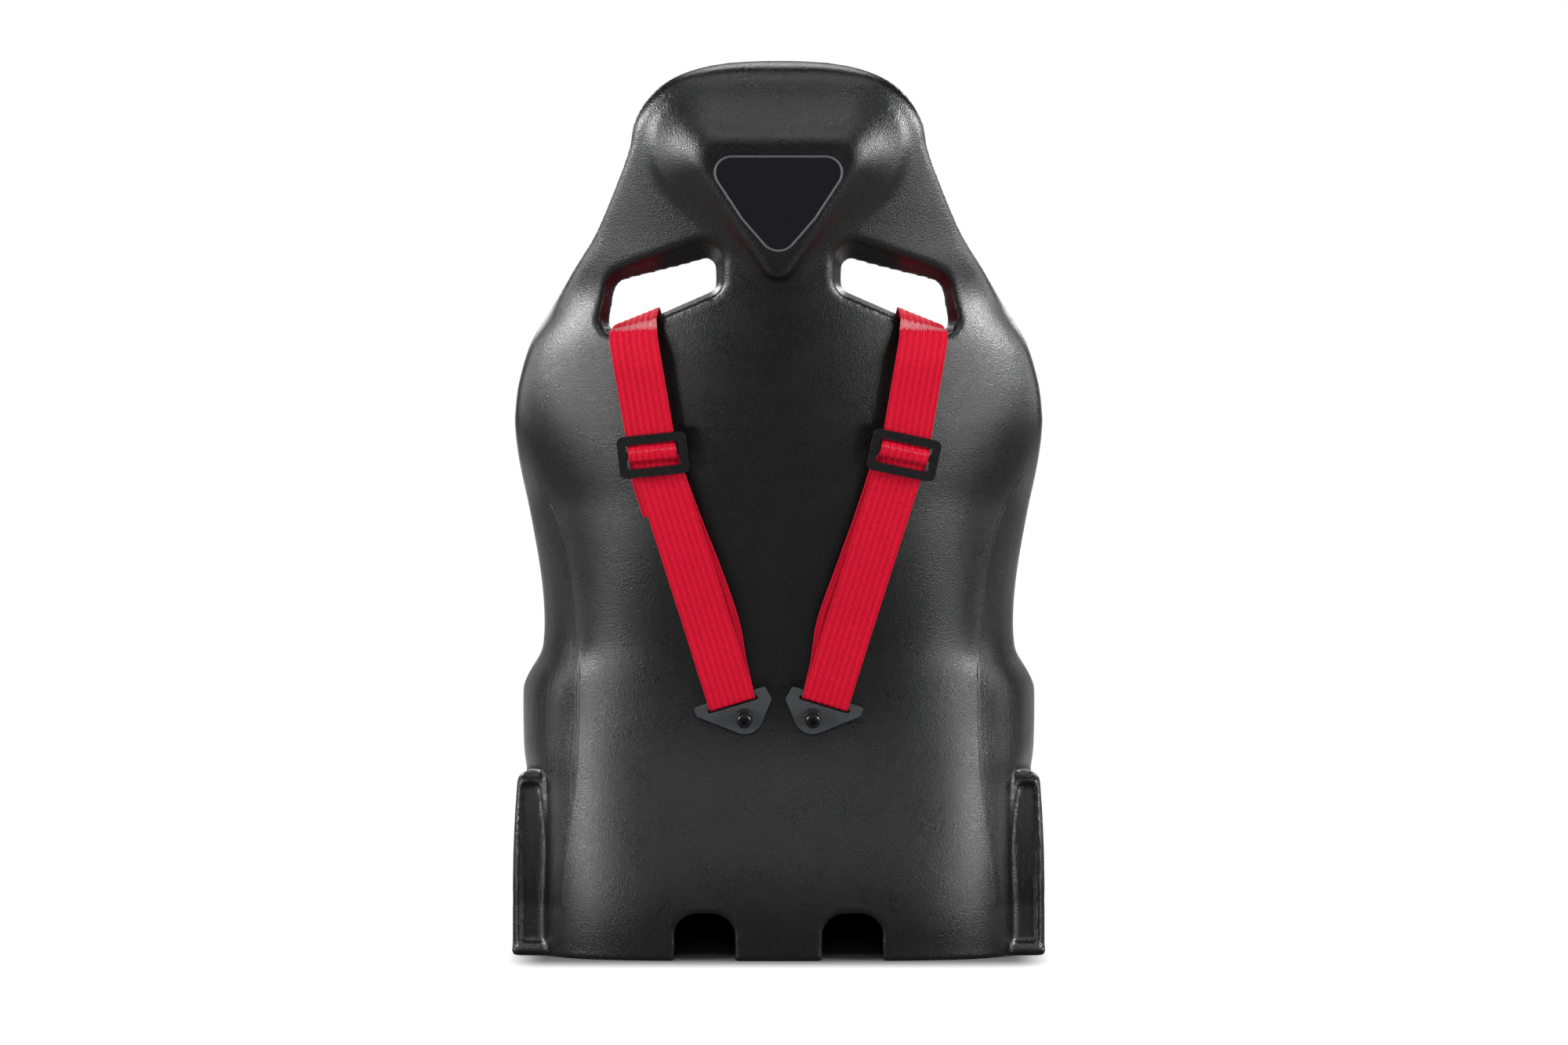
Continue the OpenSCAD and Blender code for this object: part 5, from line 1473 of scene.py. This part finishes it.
def make_world():
    world = bpy.data.worlds.new("studio")
    bpy.context.scene.world = world
    world.use_nodes = True
    tree = world.node_tree
    tree.nodes.clear()
    room = tree.nodes.new("ShaderNodeBackground")
    room.inputs["Color"].default_value = (.06, .06, .062, 1)
    white = tree.nodes.new("ShaderNodeBackground")
    white.inputs["Color"].default_value = (1, 1, 1, 1)
    either = tree.nodes.new("ShaderNodeMixShader")
    out = tree.nodes.new("ShaderNodeOutputWorld")
    way = tree.nodes.new("ShaderNodeTexCoord").outputs["Generated"]
    tree.links.new(backdrop_share(tree, toward_backdrop(tree, way, .86, .99)), either.inputs[0])
    tree.links.new(room.outputs[0], either.inputs[1])
    tree.links.new(white.outputs[0], either.inputs[2])
    tree.links.new(either.outputs[0], out.inputs["Surface"])


def make_floor():
    """A pale floor that reads as white and keeps the seat's shadow, with a painted shadow round the seat,
    darkest under the seat itself, where its glow is off.
    """
    size = 2.2
    corners = [(x * size, y * size, 0) for x, y in ((-1, -1), (1, -1), (1, 1), (-1, 1))]
    mesh = bpy.data.meshes.new("floor")
    mesh.from_pydata(corners, [], [(0, 1, 2, 3)])
    floor = bpy.data.objects.new("floor", mesh)
    bpy.context.scene.collection.objects.link(floor)
    p = Paint("pale_floor", (.14, .14, .14), .9, 0.0, 0.0)
    axes = p.add("ShaderNodeSeparateXYZ", {0: p.place})
    # distance outside the seat's footprint, as shares of the painted shadow's fall-off
    from_x = p.math("ABSOLUTE", axes.outputs["X"])
    from_y = p.math("ABSOLUTE", p.math("SUBTRACT", axes.outputs["Y"], .03))
    out_x = p.math("MAXIMUM", p.math("SUBTRACT", from_x, .245), 0.0)
    out_y = p.math("MAXIMUM", p.math("SUBTRACT", from_y, .24), 0.0)
    away = p.math("SQRT", p.math("ADD", p.math("POWER", p.math("DIVIDE", out_x, .06), 2.0),
                                 p.math("POWER", p.math("DIVIDE", out_y, .11), 2.0)))
    # painted shadow: the floor's white glow rises from nothing at the seat's footprint
    lift = p.add("ShaderNodeMapRange", {"Value": away, "From Min": .0, "From Max": 1.0},
                 interpolation_type="SMOOTHSTEP").outputs["Result"]
    white = backdrop_share(p.material.node_tree, toward_backdrop(p.material.node_tree, p.place, .7, 1.7))
    p.set("Emission Color", (1, 1, 1, 1))
    p.set("Emission Strength", p.math("MULTIPLY", lift, white))
    p.on(floor)


# ---------------------------------------------------------------- the part

make_camera()
make_lamps()
make_world()
make_floor()

node = frame["nodes"]

shell = build_shell()
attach(shell, "seat")
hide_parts("seat_shell")
moulded_plastic().on(shell, make_parting_line(LEFT, "left"), make_parting_line(RIGHT, "right"))

satin_badge().on(make_badge())

cloth = pad_fabric()
piping = smooth_plastic("piping", (.02, .02, .022), .5)
seam_thread = thread("seam_thread", (.11, .11, .115))
for pad, rim, *seams in make_pads():
    cloth.on(pad)
    piping.on(rim)
    seam_thread.on(*seams)

web = red_webbing()
for side, word in ((LEFT, "left"), (RIGHT, "right")):
    web.on(*make_shoulder_webbing(side, word), make_fold(side, word), *make_lap_webbing(side, word))
web.on(make_tail(LEFT, "left", 66, 5.5), make_tail(RIGHT, "right", 40, -4.5))


def soften_edges(piece, width, angle=32):
    """Rounded edges on a machined CAD part, so that its corners catch the light."""
    weld = piece.modifiers.new("weld", "WELD")
    weld.merge_threshold = 1e-5
    bevel = piece.modifiers.new("edge", "BEVEL")
    bevel.width = width * MM
    bevel.segments = 3
    bevel.limit_method = "ANGLE"
    bevel.angle_limit = math.radians(angle)


black_steel = coated_steel("black_steel", (.0035, .0035, .004), .3, .4)
plate_steel = coated_steel("plate_steel", (.034, .035, .038), .4)
collar_steel = coated_steel("collar_steel", (.005, .005, .0055), .3)
bolt_steel = coated_steel("bolt_steel", (.003, .003, .0035), .3, .35)
plated = bare_metal("plated_steel", (.62, .63, .65), .22, (1, .08, 1))
brass = bare_metal("insert_brass", (.72, .52, .22), .32)
buckle_plastic = smooth_plastic("buckle_black", (.013, .013, .014), .38)
knob_plastic = smooth_plastic("knob_red", (.55, .012, .02), .33)

for paint, width, names in (
        (black_steel, 1.0, ("adjuster_left", "adjuster_right")),
        (plate_steel, .5, ("anchor_plate_left", "anchor_plate_right")),
        (collar_steel, .6, ("anchor_collars", "anchor_spacers")),
        (bolt_steel, .35, ("anchor_bolts",)),
        (bolt_steel, .4, ("lap_bolts", "lap_bushes")),
        (bolt_steel, .3, ("knob_screw", "buckle_post")),
        (plated, .5, ("shoulder_tongue_left", "shoulder_tongue_right", "lap_tongue_left", "lap_tongue_right",
                      "lap_plate_left", "lap_plate_right")),
        (brass, .3, ("side_inserts", "base_inserts", "anchor_inserts", "lap_inserts")),
        (buckle_plastic, .6, ("buckle_housing", "buckle_cover")),
        (knob_plastic, .9, ("release_knob",))):
    for name in names:
        paint.on(node[name])
        soften_edges(node[name], width)
hook_tape().on(node["hook_strips"])

bpy.context.scene.view_settings.view_transform = "Standard"
